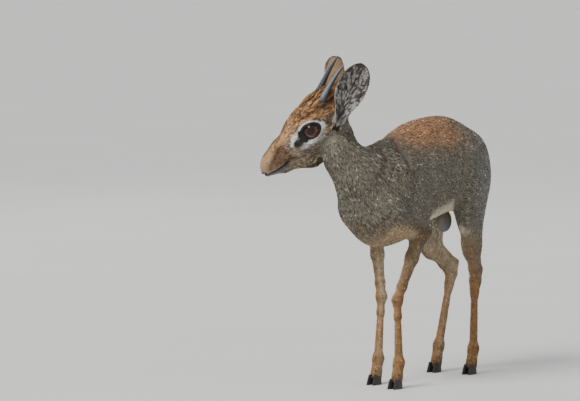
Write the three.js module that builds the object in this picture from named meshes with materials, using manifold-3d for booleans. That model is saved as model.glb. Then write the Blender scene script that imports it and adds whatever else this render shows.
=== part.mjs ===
// Adult male dik-dik, standing still with its head turned to its right. Millimetres, +Z up.
// The muzzle side is -X, the animal's left side is -Y, and the soles stand on Z = 0. Sizes below are measured
// from a point under the body's middle; the finished animal is moved so that its box is centred on the origin.
import * as THREE from "three";
import { mergeVertices } from "three/addons/utils/BufferGeometryUtils.js";
import Module from "manifold-3d";

const wasm = await Module();
wasm.setup();

const at = (x, y, z) => new THREE.Vector3(x, y, z);
const turned = (degrees) => THREE.MathUtils.degToRad(degrees);

// Gap between neighbouring pieces.
const GAP = 0.3;

// Trunk: centres and half sizes of its masses, with the pitch in degrees.
const RIBS = { centre: at(-88, 0, 298), size: at(88, 51, 79), pitch: 12 };
const BARREL = { centre: at(-4, 0, 328), size: at(100, 57, 80), pitch: -12 };
const CROUP = { centre: at(56, 0, 344), size: at(74, 45, 65), pitch: 0 };
const BREAST = { centre: at(-140, 0, 264), size: at(42, 36, 42), pitch: 0 };
const SEAT = { centre: at(104, 0, 318), size: at(34, 32, 46), pitch: 0 };
const TRUNK_BLEND = 36;
const WITHERS = [at(-140, 2, 364), at(-106, 0, 371)];
const WITHERS_PIVOT = at(-92, 0, 408);
const TRUNK_MIDDLE_HEIGHT = 318;
const TRUNK_BACK_CENTRE = 96;
// Behind this place a plane just under the belly, which rises to the rear, parts the thighs from the trunk.
const GROIN = { place: at(0, 0, 239), slope: 9.5 };

// Neck, from the chest up to the head.
const NECK = [at(-126, 0, 300), at(-168, 8, 328), at(-194, 25, 359), at(-184, 37, 392)];
const NECK_RADII = [53, 43, 29, 25];
const NECK_FLAT = 0.86;

// Head frame: its origin is where the neck meets the skull; x is forward, y left and z up in the head.
const HEAD_ORIGIN = at(-175, 34, 397);
const HEAD_FORWARD = at(-0.491, 0.7, -0.518).normalize();
const HEAD_LEFT = at(-0.631, -0.696, -0.342).normalize();
const HEAD_UP = HEAD_FORWARD.clone().cross(HEAD_LEFT).normalize();
const THROAT_PIVOT = at(-206, 57, 333);
const NAPE_TILT = at(-0.36, 0.5, 0.79).normalize();
const EYE = { centre: at(40.5, 16.6, 43), radius: 15.2 };
const EYE_OPENING = { length: 12.2, height: 10.6, lid: 1.9 };
const MUZZLE_TIP = at(116, 0, 20);
const MOUTH = { back: 92, front: 126, height: 7.2, rise: 1.5, opening: 1.1 };
const NOSTRIL = { centre: at(134.5, 6.4, 14), size: at(3.4, 2.4, 2.7), rim: 0.9 };
const LIP = { middle: 112, corner: 148, radius: 1.5, apart: 2.3 };

// Horns and ears, given for the left side in the head frame.
const HORN = { root: at(21, 12.5, 58), middle: at(-18, 14.5, 88), tip: at(-53, 17.5, 108), base: 9.2 };
const EAR = {
  root: at(4, 24, 30),
  tips: { left: at(-76, 40, 106), right: at(-54.5, -92, 64.5) },
  opening: at(0.2, 0.97, 0.1),
  width: 25,
  rootWidth: 15,
  thickness: 2.4,
  bow: 9,
};

// Crest on the forehead: locks that lie back over one another, ahead of the horns and up between them.
const CREST = {
  front: 60,
  back: -8,
  rows: 9,
  spread: 26,
  length: 30,
  width: 7,
  thickness: 1.5,
  rise: 27,
  sunk: 3.5,
};
const CREST_SEED = 5;

// Legs: joints from the trunk down to the middle of the foot, which stands at Z = 0.
const LEGS = {
  foreleg_left: [at(-122, -40, 285), at(-76, -45, 244), at(-121, -29, 137), at(-113, -27, 40), at(-122, -27, 0)],
  foreleg_right: [at(-118, 40, 285), at(-68, 45, 244), at(-74, 29, 135), at(-86, 27, 40), at(-96, 27, 0)],
  hindleg_left: [at(86, -31, 332), at(60, -48, 256), at(108, -31, 147), at(106, -30, 40), at(96, -30, 0)],
  hindleg_right: [at(84, 31, 332), at(40, 45, 246), at(142, 33, 152), at(100, 30, 42), at(88, 30, 0)],
};
const HOOF = { length: 25, width: 9.6, height: 13, apart: 5.4 };

// Tail and scrotum.
const TAIL = [at(124, 0, 357), at(148, 0, 350), at(158, 0, 314)];
const SCROTUM = { centre: at(69, 2, 243), size: at(12.5, 12, 18), pitch: 0 };

// Colours of the coat and the bare parts.
const COAT = { back: 0x8a6a48, neck: 0x7f7465, face: 0xa87a50, leg: 0xb08a5e, ear: 0x9c8a74 };
const BARE = { horn: 0x26262b, hoof: 0x1d1a18, eye: 0x1b0f0a, skin: 0x6f6a66 };

// Forms: each takes a point and gives about how far outside the surface it lies.

const smooth = (a, b, width) => {
  const near = Math.max(width - Math.abs(a - b), 0) / width;
  return Math.min(a, b) - near * near * width * 0.25;
};

function blend(width, ...forms) {
  return (point) => forms.reduce((distance, form) => smooth(distance, form(point), width), Infinity);
}

function egg({ centre, size, pitch = 0 }) {
  const cos = Math.cos(turned(pitch));
  const sin = Math.sin(turned(pitch));
  return (p) => {
    const x = p.x - centre.x;
    const z = p.z - centre.z;
    const u = (x * cos + z * sin) / size.x;
    const v = (p.y - centre.y) / size.y;
    const w = (z * cos - x * sin) / size.z;
    const scaled = Math.max(Math.hypot(u, v, w), 1e-6);
    return (scaled * (scaled - 1)) / Math.max(Math.hypot(u / size.x, v / size.y, w / size.z), 1e-9);
  };
}

// A rod between two points whose radius changes, squeezed across by the factor flat.
function rod(from, to, r0, r1, flat = 1) {
  const run = to.clone().sub(from);
  const square = run.lengthSq();
  return (p) => {
    const x = p.x - from.x;
    const y = p.y - from.y;
    const z = p.z - from.z;
    const along = THREE.MathUtils.clamp((x * run.x + y * run.y + z * run.z) / square, 0, 1);
    const across = (y - along * run.y) / flat;
    const outside = Math.hypot(x - along * run.x, across, z - along * run.z) - r0 - (r1 - r0) * along;
    return outside * Math.min(1, flat);
  };
}

function chain(points, radii, flat, width) {
  return blend(width, ...points.slice(1).map((to, i) => rod(points[i], to, radii[i], radii[i + 1], flat)));
}

const between = (a, b, share) => a.clone().lerp(b, share);

const headFrame = new THREE.Matrix4().makeBasis(HEAD_FORWARD, HEAD_LEFT, HEAD_UP).setPosition(HEAD_ORIGIN);
const headInverse = headFrame.clone().invert();
const inHead = (x, y, z) => at(x, y, z).applyMatrix4(headFrame);
const headForm = (form) => (p) => form(p.clone().applyMatrix4(headInverse));
const mirrored = (p, side) => at(p.x, p.y * side, p.z);

const trunkForm = blend(TRUNK_BLEND, egg(RIBS), egg(BARREL), egg(CROUP), egg(BREAST), egg(SEAT));
const neckForm = chain(NECK, NECK_RADII, NECK_FLAT, 20);

// Skull, cheeks, muzzle and lower jaw, in the head frame.
const skullForm = blend(
  10,
  blend(
    14,
    egg({ centre: at(20, 0, 38), size: at(44, 27, 38) }),
    egg({ centre: at(46, 0, 34), size: at(42, 25.5, 37) }),
  ),
  blend(14, rod(at(58, 0, 34), at(118, 0, 23), 27, 13.5, 0.74), rod(at(96, 0, 30), MUZZLE_TIP, 15, 12.5, 0.94)),
  rod(at(116, 0, 20), at(128, 0, 17), 12, 9.5, 0.98),
  chain([at(20, 0, -4), at(62, 0, -7), at(106, 0, 1), at(121, 0, 4)], [25, 17.5, 9, 6.5], 0.78, 8),
);
const headOnly = headForm(skullForm);

// The shoulder and thigh masses, which shape the trunk too, and the limb below each of them.
function shoulderForm([shoulder, elbow]) {
  const blade = shoulder.clone().add(at(8, 0, 46));
  const point = shoulder.clone().add(at(-26, 0, -8));
  const rear = elbow.clone().add(at(14, 0, 6));
  return blend(
    12,
    rod(blade, shoulder, 22, 32, 0.5),
    rod(point, elbow, 26, 20, 0.72),
    rod(elbow, rear, 16, 8, 0.7),
  );
}

function foreForm([, elbow, knee, fetlock, toe]) {
  const upperArm = [elbow, between(elbow, knee, 0.4), between(elbow, knee, 0.8)];
  return blend(
    8,
    rod(elbow, elbow.clone().add(at(12, 0, 4)), 13, 7, 0.7),
    chain([...upperArm, knee, between(knee, fetlock, 0.25), fetlock], [17, 12.5, 8.2, 9, 6.2, 8], 0.88, 6),
    rod(fetlock, between(fetlock, toe, 0.8), 8, 9.4, 1.04),
  );
}

function thighForm([hip, stifle, hock]) {
  const seat = at(hip.x + 26, hip.y * 0.9, hip.z - 34);
  return blend(20, rod(hip, stifle, 50, 28, 0.5), rod(seat, between(stifle, hock, 0.5), 30, 16, 0.6));
}

function hindForm([, stifle, hock, fetlock, toe]) {
  const heel = hock.clone().add(at(12, 0, 17));
  const gaskin = [stifle, between(stifle, hock, 0.42), between(stifle, hock, 0.8)];
  return blend(
    8,
    rod(gaskin[0], gaskin[1], 25, 16.5, 0.62),
    chain([gaskin[1], gaskin[2], hock, between(hock, fetlock, 0.2), fetlock], [16, 9, 9.4, 6.8, 8.2], 0.84, 6),
    rod(between(stifle, hock, 0.55).add(at(12, 0, 8)), heel, 7, 5.4, 0.9),
    rod(heel, between(hock, fetlock, 0.12), 5.4, 6.4, 0.9),
    rod(fetlock, between(fetlock, toe, 0.8), 8.2, 9.4, 1.04),
  );
}

const massForms = {};
const legForms = {};
for (const [name, joints] of Object.entries(LEGS)) {
  const fore = name.startsWith("fore");
  massForms[name] = fore ? shoulderForm(joints) : thighForm(joints);
  legForms[name] = fore ? foreForm(joints) : blend(14, thighForm(joints), hindForm(joints));
}
const trunkWithLegs = blend(22, trunkForm, ...Object.values(massForms));
const torsoForm = blend(16, blend(30, trunkWithLegs, neckForm), rod(...WITHERS, 12, 14, 0.8));
const bodyForm = blend(16, torsoForm, headOnly);

// Surfaces: rings of points closed into one body.

// Ends are closed by a fan to a point, or need none where a ring's two halves coincide.
function shell(rings, start, end) {
  const points = [...rings.flat(), start, end].filter(Boolean);
  const sides = rings[0].length;
  const id = (ring, i) => ring * sides + (i % sides);
  const last = rings.length - 1;
  const faces = [];
  for (let i = 0; i < sides; i += 1) {
    for (let ring = 0; ring < last; ring += 1) {
      faces.push(id(ring, i), id(ring, i + 1), id(ring + 1, i + 1));
      faces.push(id(ring, i), id(ring + 1, i + 1), id(ring + 1, i));
    }
    if (start) {
      faces.push(rings.length * sides, id(0, i + 1), id(0, i));
    }
    if (end) {
      faces.push(points.length - 1, id(last, i), id(last, i + 1));
    }
  }
  return solid(new THREE.BufferGeometry().setFromPoints(points).setIndex(faces));
}

function solid(geometry, tolerance = 1e-3) {
  geometry.deleteAttribute("normal");
  geometry.deleteAttribute("uv");
  const merged = mergeVertices(geometry, tolerance);
  const vertProperties = new Float32Array(merged.attributes.position.array);
  const corners = [...merged.index.array];
  const kept = corners.filter((_, i) => {
    const [a, b, c] = corners.slice(i - (i % 3), i - (i % 3) + 3);
    return a !== b && b !== c && c !== a;
  });
  const triVerts = new Uint32Array(kept);
  return new wasm.Manifold(new wasm.Mesh({ numProp: 3, vertProperties, triVerts }));
}

function geometryOf(body) {
  const { numProp, vertProperties, triVerts } = body.getMesh();
  const geometry = new THREE.BufferGeometry();
  geometry.setAttribute("position", new THREE.BufferAttribute(new Float32Array(vertProperties), numProp));
  return geometry.setIndex(new THREE.BufferAttribute(new Uint32Array(triVerts), 1));
}

// The largest closed surface of a body, once points that nearly meet have been joined.
function largest(body) {
  const parts = solid(geometryOf(body), 0.02).decompose();
  return parts.reduce((a, b) => (b.volume() > a.volume() ? b : a));
}

// Distance along a ray to where the form ends, no further than the limit.
function reach(form, from, ray, limit, level) {
  let near = 0;
  let far = 0;
  while (far < limit && form(from.clone().addScaledVector(ray, far)) < level) {
    near = far;
    far += Math.max(1.5, limit / 60);
  }
  if (far >= limit) {
    return limit;
  }
  for (let i = 0; i < 14; i += 1) {
    const middle = (near + far) / 2;
    if (form(from.clone().addScaledVector(ray, middle)) < level) {
      near = middle;
    } else {
      far = middle;
    }
  }
  return near;
}

// A station has a centre, axes across it (side and top), the way ahead, a lift of its rays and a limit of reach.
function station(centre, ahead, side, lift = 0, limit = 140) {
  const forward = ahead.clone().normalize();
  const top = forward.clone().cross(side).normalize();
  return { centre, ahead: forward, side: top.clone().cross(forward), top, lift, limit };
}

// An oval ring of points across a station given in the head frame.
function roundRing(s, wide, thick, sides) {
  return Array.from({ length: sides }, (_, i) => {
    const turn = (2 * Math.PI * i) / sides;
    const point = s.centre.clone().addScaledVector(s.side, wide * Math.cos(turn));
    return point.addScaledVector(s.top, thick * Math.sin(turn)).applyMatrix4(headFrame);
  });
}

const ringMiddle = (ring) => ring.reduce((sum, p) => sum.add(p), at(0, 0, 0)).multiplyScalar(1 / ring.length);

function wrap(form, stations, sides, level = 0) {
  const edge = (s, ray) => {
    const distance = reach(form, s.centre, ray, s.limit + level, level);
    return s.centre.clone().addScaledVector(ray, distance);
  };
  const rings = stations.map((s) =>
    Array.from({ length: sides }, (_, i) => {
      const turn = (2 * Math.PI * i) / sides;
      const ray = s.side.clone().multiplyScalar(Math.cos(turn) * Math.cos(s.lift));
      ray.addScaledVector(s.top, Math.sin(turn) * Math.cos(s.lift)).addScaledVector(s.ahead, Math.sin(s.lift));
      return edge(s, ray);
    }),
  );
  const [first, last] = [stations[0], stations.at(-1)];
  const start = first.lift ? edge(first, first.ahead.clone().negate()) : first.centre;
  const end = last.lift ? edge(last, last.ahead) : last.centre;
  return shell(rings, start, end);
}

const steps = (count, from = 0, to = 1) =>
  Array.from({ length: count }, (_, i) => from + ((to - from) * i) / (count - 1));

// The pieces.

const SIDE = at(0, -1, 0);

// Planes fan round a line above the withers, from the neck's base to the upright ring behind the shoulders.
function trunkStations(inset = 0) {
  const fan = steps(10, 45, 90).map((degrees, i) => {
    const down = at(-Math.cos(turned(degrees)), 0, -Math.sin(turned(degrees)));
    const centre = WITHERS_PIVOT.clone().addScaledVector(down, 96 + 0.3 * (90 - degrees));
    const ahead = at(Math.sin(turned(degrees)), 0, -Math.cos(turned(degrees)));
    return station(i ? centre : centre.addScaledVector(ahead, inset), ahead, SIDE);
  });
  const back = steps(14, WITHERS_PIVOT.x + 12, TRUNK_BACK_CENTRE).map((x) =>
    station(at(x, 0, TRUNK_MIDDLE_HEIGHT + 0.06 * x), at(1, 0, 0), SIDE, 0, 115),
  );
  const centre = back.at(-1).centre;
  const rump = [16, 32, 48, 64, 79].map((degrees) => station(centre, at(1, 0, 0), SIDE, turned(degrees)));
  return [...fan, ...back, ...rump];
}

const skullCurve = new THREE.CatmullRomCurve3([
  NECK[2],
  NECK[3],
  inHead(14, 0, 32),
  inHead(44, 0, 34),
  inHead(70, 0, 27),
]);

// Planes fan round a line beside the throat, from the nape to the face in front of the eyes.
const headAxis = NAPE_TILT.clone().cross(HEAD_FORWARD).normalize();
const headTurn = NAPE_TILT.angleTo(HEAD_FORWARD);

function headFanStation(share, inset) {
  const ahead = NAPE_TILT.clone().applyAxisAngle(headAxis, headTurn * share);
  const side = (p) => p.clone().sub(THROAT_PIVOT).dot(ahead);
  const centre = steps(201).map((t) => skullCurve.getPoint(t)).find((p) => side(p) > 0);
  return station(centre.addScaledVector(ahead, inset - side(centre)), ahead, headAxis);
}

function headStations(inset) {
  const fan = steps(11).map((share, i) => headFanStation(share, i ? 0 : inset));
  const forward = [74, 83, 92, 101, 109, 116, 122];
  const muzzle = forward.map((x) => station(inHead(x, 0, 28 - 0.16 * (x - 66)), HEAD_FORWARD, headAxis, 0, 60));
  const nose = [24, 46, 66, 80].map((degrees) =>
    station(inHead(122, 0, 18.5), HEAD_FORWARD, headAxis, turned(degrees), 40),
  );
  return [...fan, ...muzzle, ...nose];
}

const animal = new THREE.Group();

function piece(name, body, colour, roughness = 0.9) {
  const material = new THREE.MeshStandardMaterial({ color: colour, roughness, metalness: 0 });
  const mesh = new THREE.Mesh(geometryOf(body), material);
  mesh.name = name;
  animal.add(mesh);
}

// All behind the groin's place that lies under its plane, or over it, when the plane is a little lowered.
function atGroin(over, lowered) {
  const block = new THREE.BoxGeometry(320, 240, 180);
  block.translate(over ? 140 : 160, 0, (over ? 90 : -90) - lowered).rotateY(-turned(GROIN.slope));
  return solid(block.translate(GROIN.place.x, GROIN.place.y, GROIN.place.z));
}

// Torso, and the same surface a gap larger, which trims all that grows from it.
const torso = largest(wrap(torsoForm, trunkStations(GAP / 2), 28).subtract(atGroin(false, 0)));
const torsoClear = largest(wrap(torsoForm, trunkStations(-GAP / 2), 28, GAP).subtract(atGroin(false, GAP)));

// The neck's planes pass from the one at the chest to the one at the nape, each as high as its share between.
function makeNeck() {
  const [first, last] = [trunkStations(0)[0], headStations(0)[0]];
  const below = first.ahead.clone().divideScalar(first.ahead.z);
  const above = last.ahead.clone().divideScalar(last.ahead.z);
  const stations = steps(9).map((share) => {
    const centre = between(first.centre, last.centre, share);
    const low = first.centre.clone().sub(centre).dot(below);
    const high = last.centre.clone().sub(centre).dot(above);
    centre.z += low * (1 - share) + high * share;
    const ahead = between(below, above, share).normalize();
    const inset = share === 0 ? GAP / 2 : share === 1 ? -GAP / 2 : 0;
    return station(centre.addScaledVector(ahead, inset), ahead, at(0, 1, 0), 0, 95);
  });
  return wrap(bodyForm, stations, 26);
}

// An eyeball, and the lid that rings its opening as a rounded band lying on the ball.
const eyeBall = (side, clear) => {
  const ball = new THREE.SphereGeometry(EYE.radius + clear, 18, 12);
  ball.rotateX(Math.PI / 2);
  ball.applyMatrix4(new THREE.Matrix4().setPosition(mirrored(EYE.centre, side)).premultiply(headFrame));
  return solid(ball);
};

function lid(side) {
  const ring = new THREE.TorusGeometry(1, EYE_OPENING.lid / EYE_OPENING.height, 7, 20);
  ring.rotateX(Math.PI / 2).scale(EYE_OPENING.length, EYE_OPENING.height, EYE_OPENING.height);
  const out = Math.sqrt(EYE.radius ** 2 - EYE_OPENING.length * EYE_OPENING.height);
  ring.translate(EYE.centre.x, side * (EYE.centre.y + out), EYE.centre.z);
  return solid(ring.applyMatrix4(headFrame));
}

// The mouth: a thin slit, a little lower in front, that tapers back to its two corners.
function mouthLine() {
  const line = steps(7).map((share) => {
    const x = THREE.MathUtils.lerp(MOUTH.back, MOUTH.front + 14, share);
    return [x, MOUTH.height + MOUTH.rise * (1 - share) ** 2, 0.5 * MOUTH.opening * Math.min(1, 2 * share)];
  });
  const upper = line.slice(1).map(([x, z, half]) => new THREE.Vector2(x, z + half));
  const lower = line.map(([x, z, half]) => new THREE.Vector2(x, z - half)).reverse();
  const outline = new THREE.Shape([...upper, ...lower]);
  const slit = new THREE.ExtrudeGeometry(outline, { depth: 60, bevelEnabled: false });
  return solid(slit.translate(0, 0, -30).rotateX(Math.PI / 2).applyMatrix4(headFrame));
}

function nostril(side) {
  const hole = new THREE.SphereGeometry(1, 12, 8);
  hole.scale(NOSTRIL.size.x, NOSTRIL.size.y, NOSTRIL.size.z);
  hole.rotateZ(turned(-34 * side));
  hole.translate(NOSTRIL.centre.x, NOSTRIL.centre.y * side, NOSTRIL.centre.z);
  hole.applyMatrix4(headFrame);
  return solid(hole);
}

// A raised rim round a nostril.
function nostrilRim(side) {
  const ring = new THREE.TorusGeometry(1, NOSTRIL.rim / NOSTRIL.size.x, 5, 12);
  ring.rotateX(Math.PI / 2).scale(NOSTRIL.size.x, NOSTRIL.size.y * 2, NOSTRIL.size.z);
  ring.rotateZ(turned(-34 * side));
  ring.translate(NOSTRIL.centre.x, NOSTRIL.centre.y * side, NOSTRIL.centre.z);
  return solid(ring.applyMatrix4(headFrame));
}

// A lip: a low roll that runs from one corner of the mouth round the front to the other; up is 1 or -1.
function lip(up) {
  const height = MOUTH.height + up * LIP.apart;
  const from = at(LIP.middle, 0, height);
  const rings = steps(17, -LIP.corner, LIP.corner).map((degrees) => {
    const out = at(Math.cos(turned(degrees)), Math.sin(turned(degrees)), 0);
    const ahead = at(-Math.sin(turned(degrees)), Math.cos(turned(degrees)), 0);
    const centre = from.clone().addScaledVector(out, reach(skullForm, from, out, 40, -0.4));
    centre.z += MOUTH.rise * (1 - Math.cos(turned(degrees) / 2)) ** 2;
    const radius = LIP.radius * Math.sqrt(1.05 - Math.abs(degrees / LIP.corner) ** 4);
    return roundRing(station(centre, ahead, out), radius, radius, 6);
  });
  return shell(rings, ringMiddle(rings[0]), ringMiddle(rings.at(-1)));
}

// One lock of the crest: a flat blade rooted in the forehead that tapers and bends back.
function lock(along, across, random) {
  const x = THREE.MathUtils.lerp(CREST.front, CREST.back, along);
  const out = at(0, Math.sin(turned(across)), Math.cos(turned(across)));
  const core = at(x, 0, 34);
  const root = core.addScaledVector(out, reach(skullForm, core, out, 80, 0) - CREST.sunk);
  const length = CREST.length * (0.5 + 0.5 * along) * (0.85 + 0.3 * random()) + CREST.sunk;
  const rise = CREST.rise * (0.7 + 0.5 * along) + 8 * random();
  const sway = 12 * (random() - 0.5) + across * 0.25;
  const side = at(0, out.z, -out.y);
  const centre = root;
  const rings = [0, 0.34, 0.36, 0.28].map((stretch, i) => {
    const lift = turned(rise * (1.5 - 0.4 * i));
    const ahead = at(-Math.cos(lift), Math.sin(turned(sway)), 0);
    ahead.addScaledVector(out, Math.sin(lift)).normalize();
    centre.addScaledVector(ahead, stretch * length);
    const taper = [0.9, 1, 0.72, 0.2][i];
    const [wide, thick] = [0.5 * CREST.width * taper, 0.5 * CREST.thickness * taper];
    return roundRing(station(centre.clone(), ahead, side), wide, thick, 4);
  });
  const tip = ringMiddle(rings.at(-1)).lerp(ringMiddle(rings.at(-2)), -0.12);
  return shell(rings, ringMiddle(rings[0]), tip);
}

// All locks in rows, clear of the horns.
function makeCrest() {
  THREE.MathUtils.seededRandom(CREST_SEED);
  const random = () => THREE.MathUtils.seededRandom();
  const locks = steps(CREST.rows).flatMap((along, row) => {
    const count = along > 0.7 ? 2 : 4 - (row % 2);
    const spread = along > 0.7 ? CREST.spread * 0.2 : CREST.spread * (0.6 + 0.4 * Math.sin(Math.PI * along));
    return steps(count, -spread, spread).map((across) => lock(along, across, random));
  });
  const crest = locks.reduce((all, one) => all.add(one));
  return crest.subtract(horn(1, GAP)).subtract(horn(-1, GAP));
}

function makeHead(level = 0) {
  const skin = wrap(bodyForm, headStations(level ? -1 : GAP / 2), 28, level);
  if (level) {
    return skin;
  }
  const grown = [lid(1), lid(-1), lip(1), lip(-1), nostrilRim(1), nostrilRim(-1), makeCrest()];
  const full = grown.reduce((all, one) => all.add(one), skin);
  const eyed = full.subtract(eyeBall(1, GAP)).subtract(eyeBall(-1, GAP));
  return largest(eyed.subtract(mouthLine()).subtract(nostril(1)).subtract(nostril(-1)));
}

// A horn: a straight taper with raised rings on its lower half.
function horn(side, clear = 0) {
  const line = new THREE.CatmullRomCurve3([HORN.root, HORN.middle, HORN.tip].map((p) => mirrored(p, side)));
  const count = 20;
  const rings = steps(count, 0, 0.985).map((share, i) => {
    const ridge = share > 0.18 && share < 0.62 && i % 2 ? 0.75 * (1 - share) : 0;
    const radius = HORN.base * (1 - share) ** 0.72 * (1 - 0.28 * Math.sin(Math.PI * share)) + ridge + clear;
    return roundRing(station(line.getPoint(share), line.getTangent(share), at(0, 1, 0)), radius, radius, 8);
  });
  const tip = mirrored(HORN.tip, side).applyMatrix4(headFrame);
  return shell(rings, mirrored(HORN.root, side).applyMatrix4(headFrame), tip);
}

// An ear: a sheet rolled to a trough at the root that opens to a cup and flattens to a rounded point.
function ear(side) {
  const tip = mirrored(side > 0 ? EAR.tips.left : EAR.tips.right, side);
  const along = tip.sub(EAR.root);
  const length = along.length();
  along.normalize();
  const open = EAR.opening.clone().addScaledVector(along, -EAR.opening.dot(along)).normalize();
  const across = open.clone().cross(along);
  const rings = steps(15, -0.06, 1).map((share) => {
    const swell = THREE.MathUtils.smoothstep(share, 0.05, 0.6);
    const close = share > 0.6 ? Math.sqrt(1.006 - ((share - 0.6) / 0.4) ** 2.3) : 1;
    const half = THREE.MathUtils.lerp(EAR.rootWidth, EAR.width, swell) * close;
    const bend = turned(THREE.MathUtils.lerp(118, 50, THREE.MathUtils.smoothstep(share, 0, 0.55)));
    const radius = half / bend;
    const inBetween = share > 0 && share < 1;
    const thick = inBetween ? Math.min(EAR.thickness * (1 - 0.5 * share), radius * 0.6) : 0;
    const middle = EAR.root.clone().addScaledVector(along, share * length);
    middle.addScaledVector(open, -EAR.bow * Math.sin(Math.PI * share));
    const row = (inset) =>
      steps(9, -1, 1).map((v) => {
        const r = radius - inset * (1 - 0.5 * v * v);
        const point = middle.clone().addScaledVector(across, r * Math.sin(v * bend));
        point.addScaledVector(open, radius - r * Math.cos(v * bend));
        return mirrored(point, side).applyMatrix4(headFrame);
      });
    const ring = [...row(0), ...row(thick).reverse()];
    return side > 0 ? ring : ring.reverse();
  });
  return shell(rings);
}

// A leg's stretch between two joints, cut square to the leg at both ends.
function limb(form, curve, from, to, count, sides, limits) {
  const stations = steps(count, from, to).map((share, i) => {
    const ahead = curve.getTangentAt(share);
    const inset = i === 0 ? GAP / 2 : i === count - 1 ? -GAP / 2 : 0;
    const limit = THREE.MathUtils.lerp(limits[0], limits[1], i / (count - 1));
    return station(curve.getPointAt(share).addScaledVector(ahead, inset), ahead, SIDE, 0, limit);
  });
  return wrap(form, stations, sides);
}

function nearest(curve, point) {
  const shares = steps(401);
  const distance = (share) => curve.getPointAt(share).distanceTo(point);
  return shares.reduce((best, share) => (distance(share) < distance(best) ? share : best));
}

// One of a foot's two hooves: pointed ahead, flat below, sloping back to the coronet.
function hoof(toe, side, coronet, slope) {
  const levels = steps(4);
  const rings = levels.map((share) => {
    const size = 1 - 0.26 * share;
    return Array.from({ length: 14 }, (_, i) => {
      const turn = (2 * Math.PI * i) / 14;
      const ahead = Math.cos(turn);
      const x = toe.x - 3 - ahead * size * HOOF.length * 0.5 + share * 3.4;
      const narrow = ahead > 0 ? 1 - 0.45 * ahead ** 2 : 1 - 0.12 * ahead ** 2;
      const half = Math.sin(turn) * size * narrow * HOOF.width * 0.5;
      const y = toe.y + side * (HOOF.apart - 0.4 * share) + half;
      const z = share * (coronet.z - slope * (x - coronet.x));
      return at(x, y, z);
    });
  });
  const top = rings.at(-1).reduce((sum, p) => sum.add(p), at(0, 0, 0)).multiplyScalar(1 / 14);
  rings.forEach((ring) => ring.reverse());
  return shell(rings, at(toe.x - 3, toe.y + side * HOOF.apart, 0), top);
}

function makeLeg(name, joints) {
  const [upper, bend, middle, fetlock, toe] = joints;
  const form = legForms[name];
  const coronet = at(toe.x + 1.2, toe.y, HOOF.height);
  const corner = [between(bend, middle, 0.84), between(middle, fetlock, 0.16)];
  const line = new THREE.CatmullRomCurve3([upper, bend, ...corner, fetlock, coronet], false, "centripetal");
  const hind = name.startsWith("hind");
  const start = nearest(line, bend) * (hind ? 0.4 : 0.82);
  const cuts = [nearest(line, middle), nearest(line, fetlock)];
  const whole = limb(form, line, start, cuts[0], hind ? 16 : 14, hind ? 20 : 18, [hind ? 95 : 40, 22]);
  const upperPart = hind ? whole.subtract(atGroin(true, GAP)) : whole;
  piece(name + "_upper", largest(upperPart.subtract(torsoClear)), COAT.leg);
  piece(name + "_cannon", limb(form, line, cuts[0], cuts[1], 9, 14, [22, 14]), COAT.leg);
  piece(name + "_pastern", limb(form, line, cuts[1], 1, 5, 14, [14, 14]), COAT.leg);
  const down = line.getTangentAt(1);
  const top = coronet.clone().addScaledVector(down, GAP / 2);
  for (const [place, side] of [["inner", -Math.sign(toe.y)], ["outer", Math.sign(toe.y)]]) {
    piece(name + "_hoof_" + place, hoof(toe, side, top, down.x / down.z), BARE.hoof, 0.5);
  }
}

function makeTail() {
  const line = new THREE.CatmullRomCurve3(TAIL, false, "centripetal");
  const form = chain(TAIL, [11, 8.5, 3.2], 0.9, 6);
  const stations = steps(7).map((share) => station(line.getPoint(share), line.getTangent(share), SIDE, 0, 30));
  const ends = [25, 55].map((degrees) => station(TAIL[2], line.getTangent(1), SIDE, turned(degrees), 30));
  return largest(wrap(form, [...stations, ...ends], 12).subtract(torsoClear));
}

function makeScrotum() {
  const stations = [-75, -45, -15, 15, 45, 75].map((degrees) =>
    station(SCROTUM.centre, at(0, 0, -1), SIDE, turned(degrees), 40),
  );
  return largest(wrap(egg(SCROTUM), stations, 14).subtract(torsoClear));
}

const head = makeHead();
const headClear = makeHead(GAP);
piece("torso", torso, COAT.back);
piece("neck", makeNeck(), COAT.neck);
piece("head", head, COAT.face);
for (const [name, side] of [["left", 1], ["right", -1]]) {
  piece("eye_" + name, eyeBall(side, 0), BARE.eye, 0.05);
  piece("horn_" + name, largest(horn(side).subtract(headClear)), BARE.horn, 0.4);
  piece("ear_" + name, largest(ear(side).subtract(headClear)), COAT.ear);
}
for (const [name, joints] of Object.entries(LEGS)) {
  makeLeg(name, joints);
}
piece("tail", makeTail(), COAT.back);
piece("scrotum", makeScrotum(), BARE.skin);

// The box of the whole animal stands centred over the origin.
const box = new THREE.Box3();
for (const mesh of animal.children) {
  box.expandByObject(mesh);
}
const middle = box.getCenter(new THREE.Vector3());
animal.position.set(-middle.x, -middle.y, -box.min.z);

export default animal;
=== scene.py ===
"""Adult male dik-dik, a life-size still model: skin, coat, ears, eyes, horns, hooves and stage."""

import math

import bmesh
import bpy
import numpy as np
from bpy.props import FloatProperty, FloatVectorProperty, IntProperty, PointerProperty
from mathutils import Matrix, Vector


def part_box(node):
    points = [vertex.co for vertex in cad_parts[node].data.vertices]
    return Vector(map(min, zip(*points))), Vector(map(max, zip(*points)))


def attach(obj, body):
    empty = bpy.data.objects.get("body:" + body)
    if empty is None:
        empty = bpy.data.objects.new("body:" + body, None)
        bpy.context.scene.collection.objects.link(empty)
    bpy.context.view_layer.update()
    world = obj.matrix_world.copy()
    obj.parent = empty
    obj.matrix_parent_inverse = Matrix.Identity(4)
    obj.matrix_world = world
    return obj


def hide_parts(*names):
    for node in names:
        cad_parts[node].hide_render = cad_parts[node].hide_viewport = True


bl_info = {
    "name": "Dik-dik",
    "version": (1, 0, 0),
    "blender": (4, 5, 0),
    "location": "3D View > Sidebar > Dik-dik",
    "description": "Builds a life-size dik-dik with its coat around the solid parts",
    "category": "Object",
}

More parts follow.
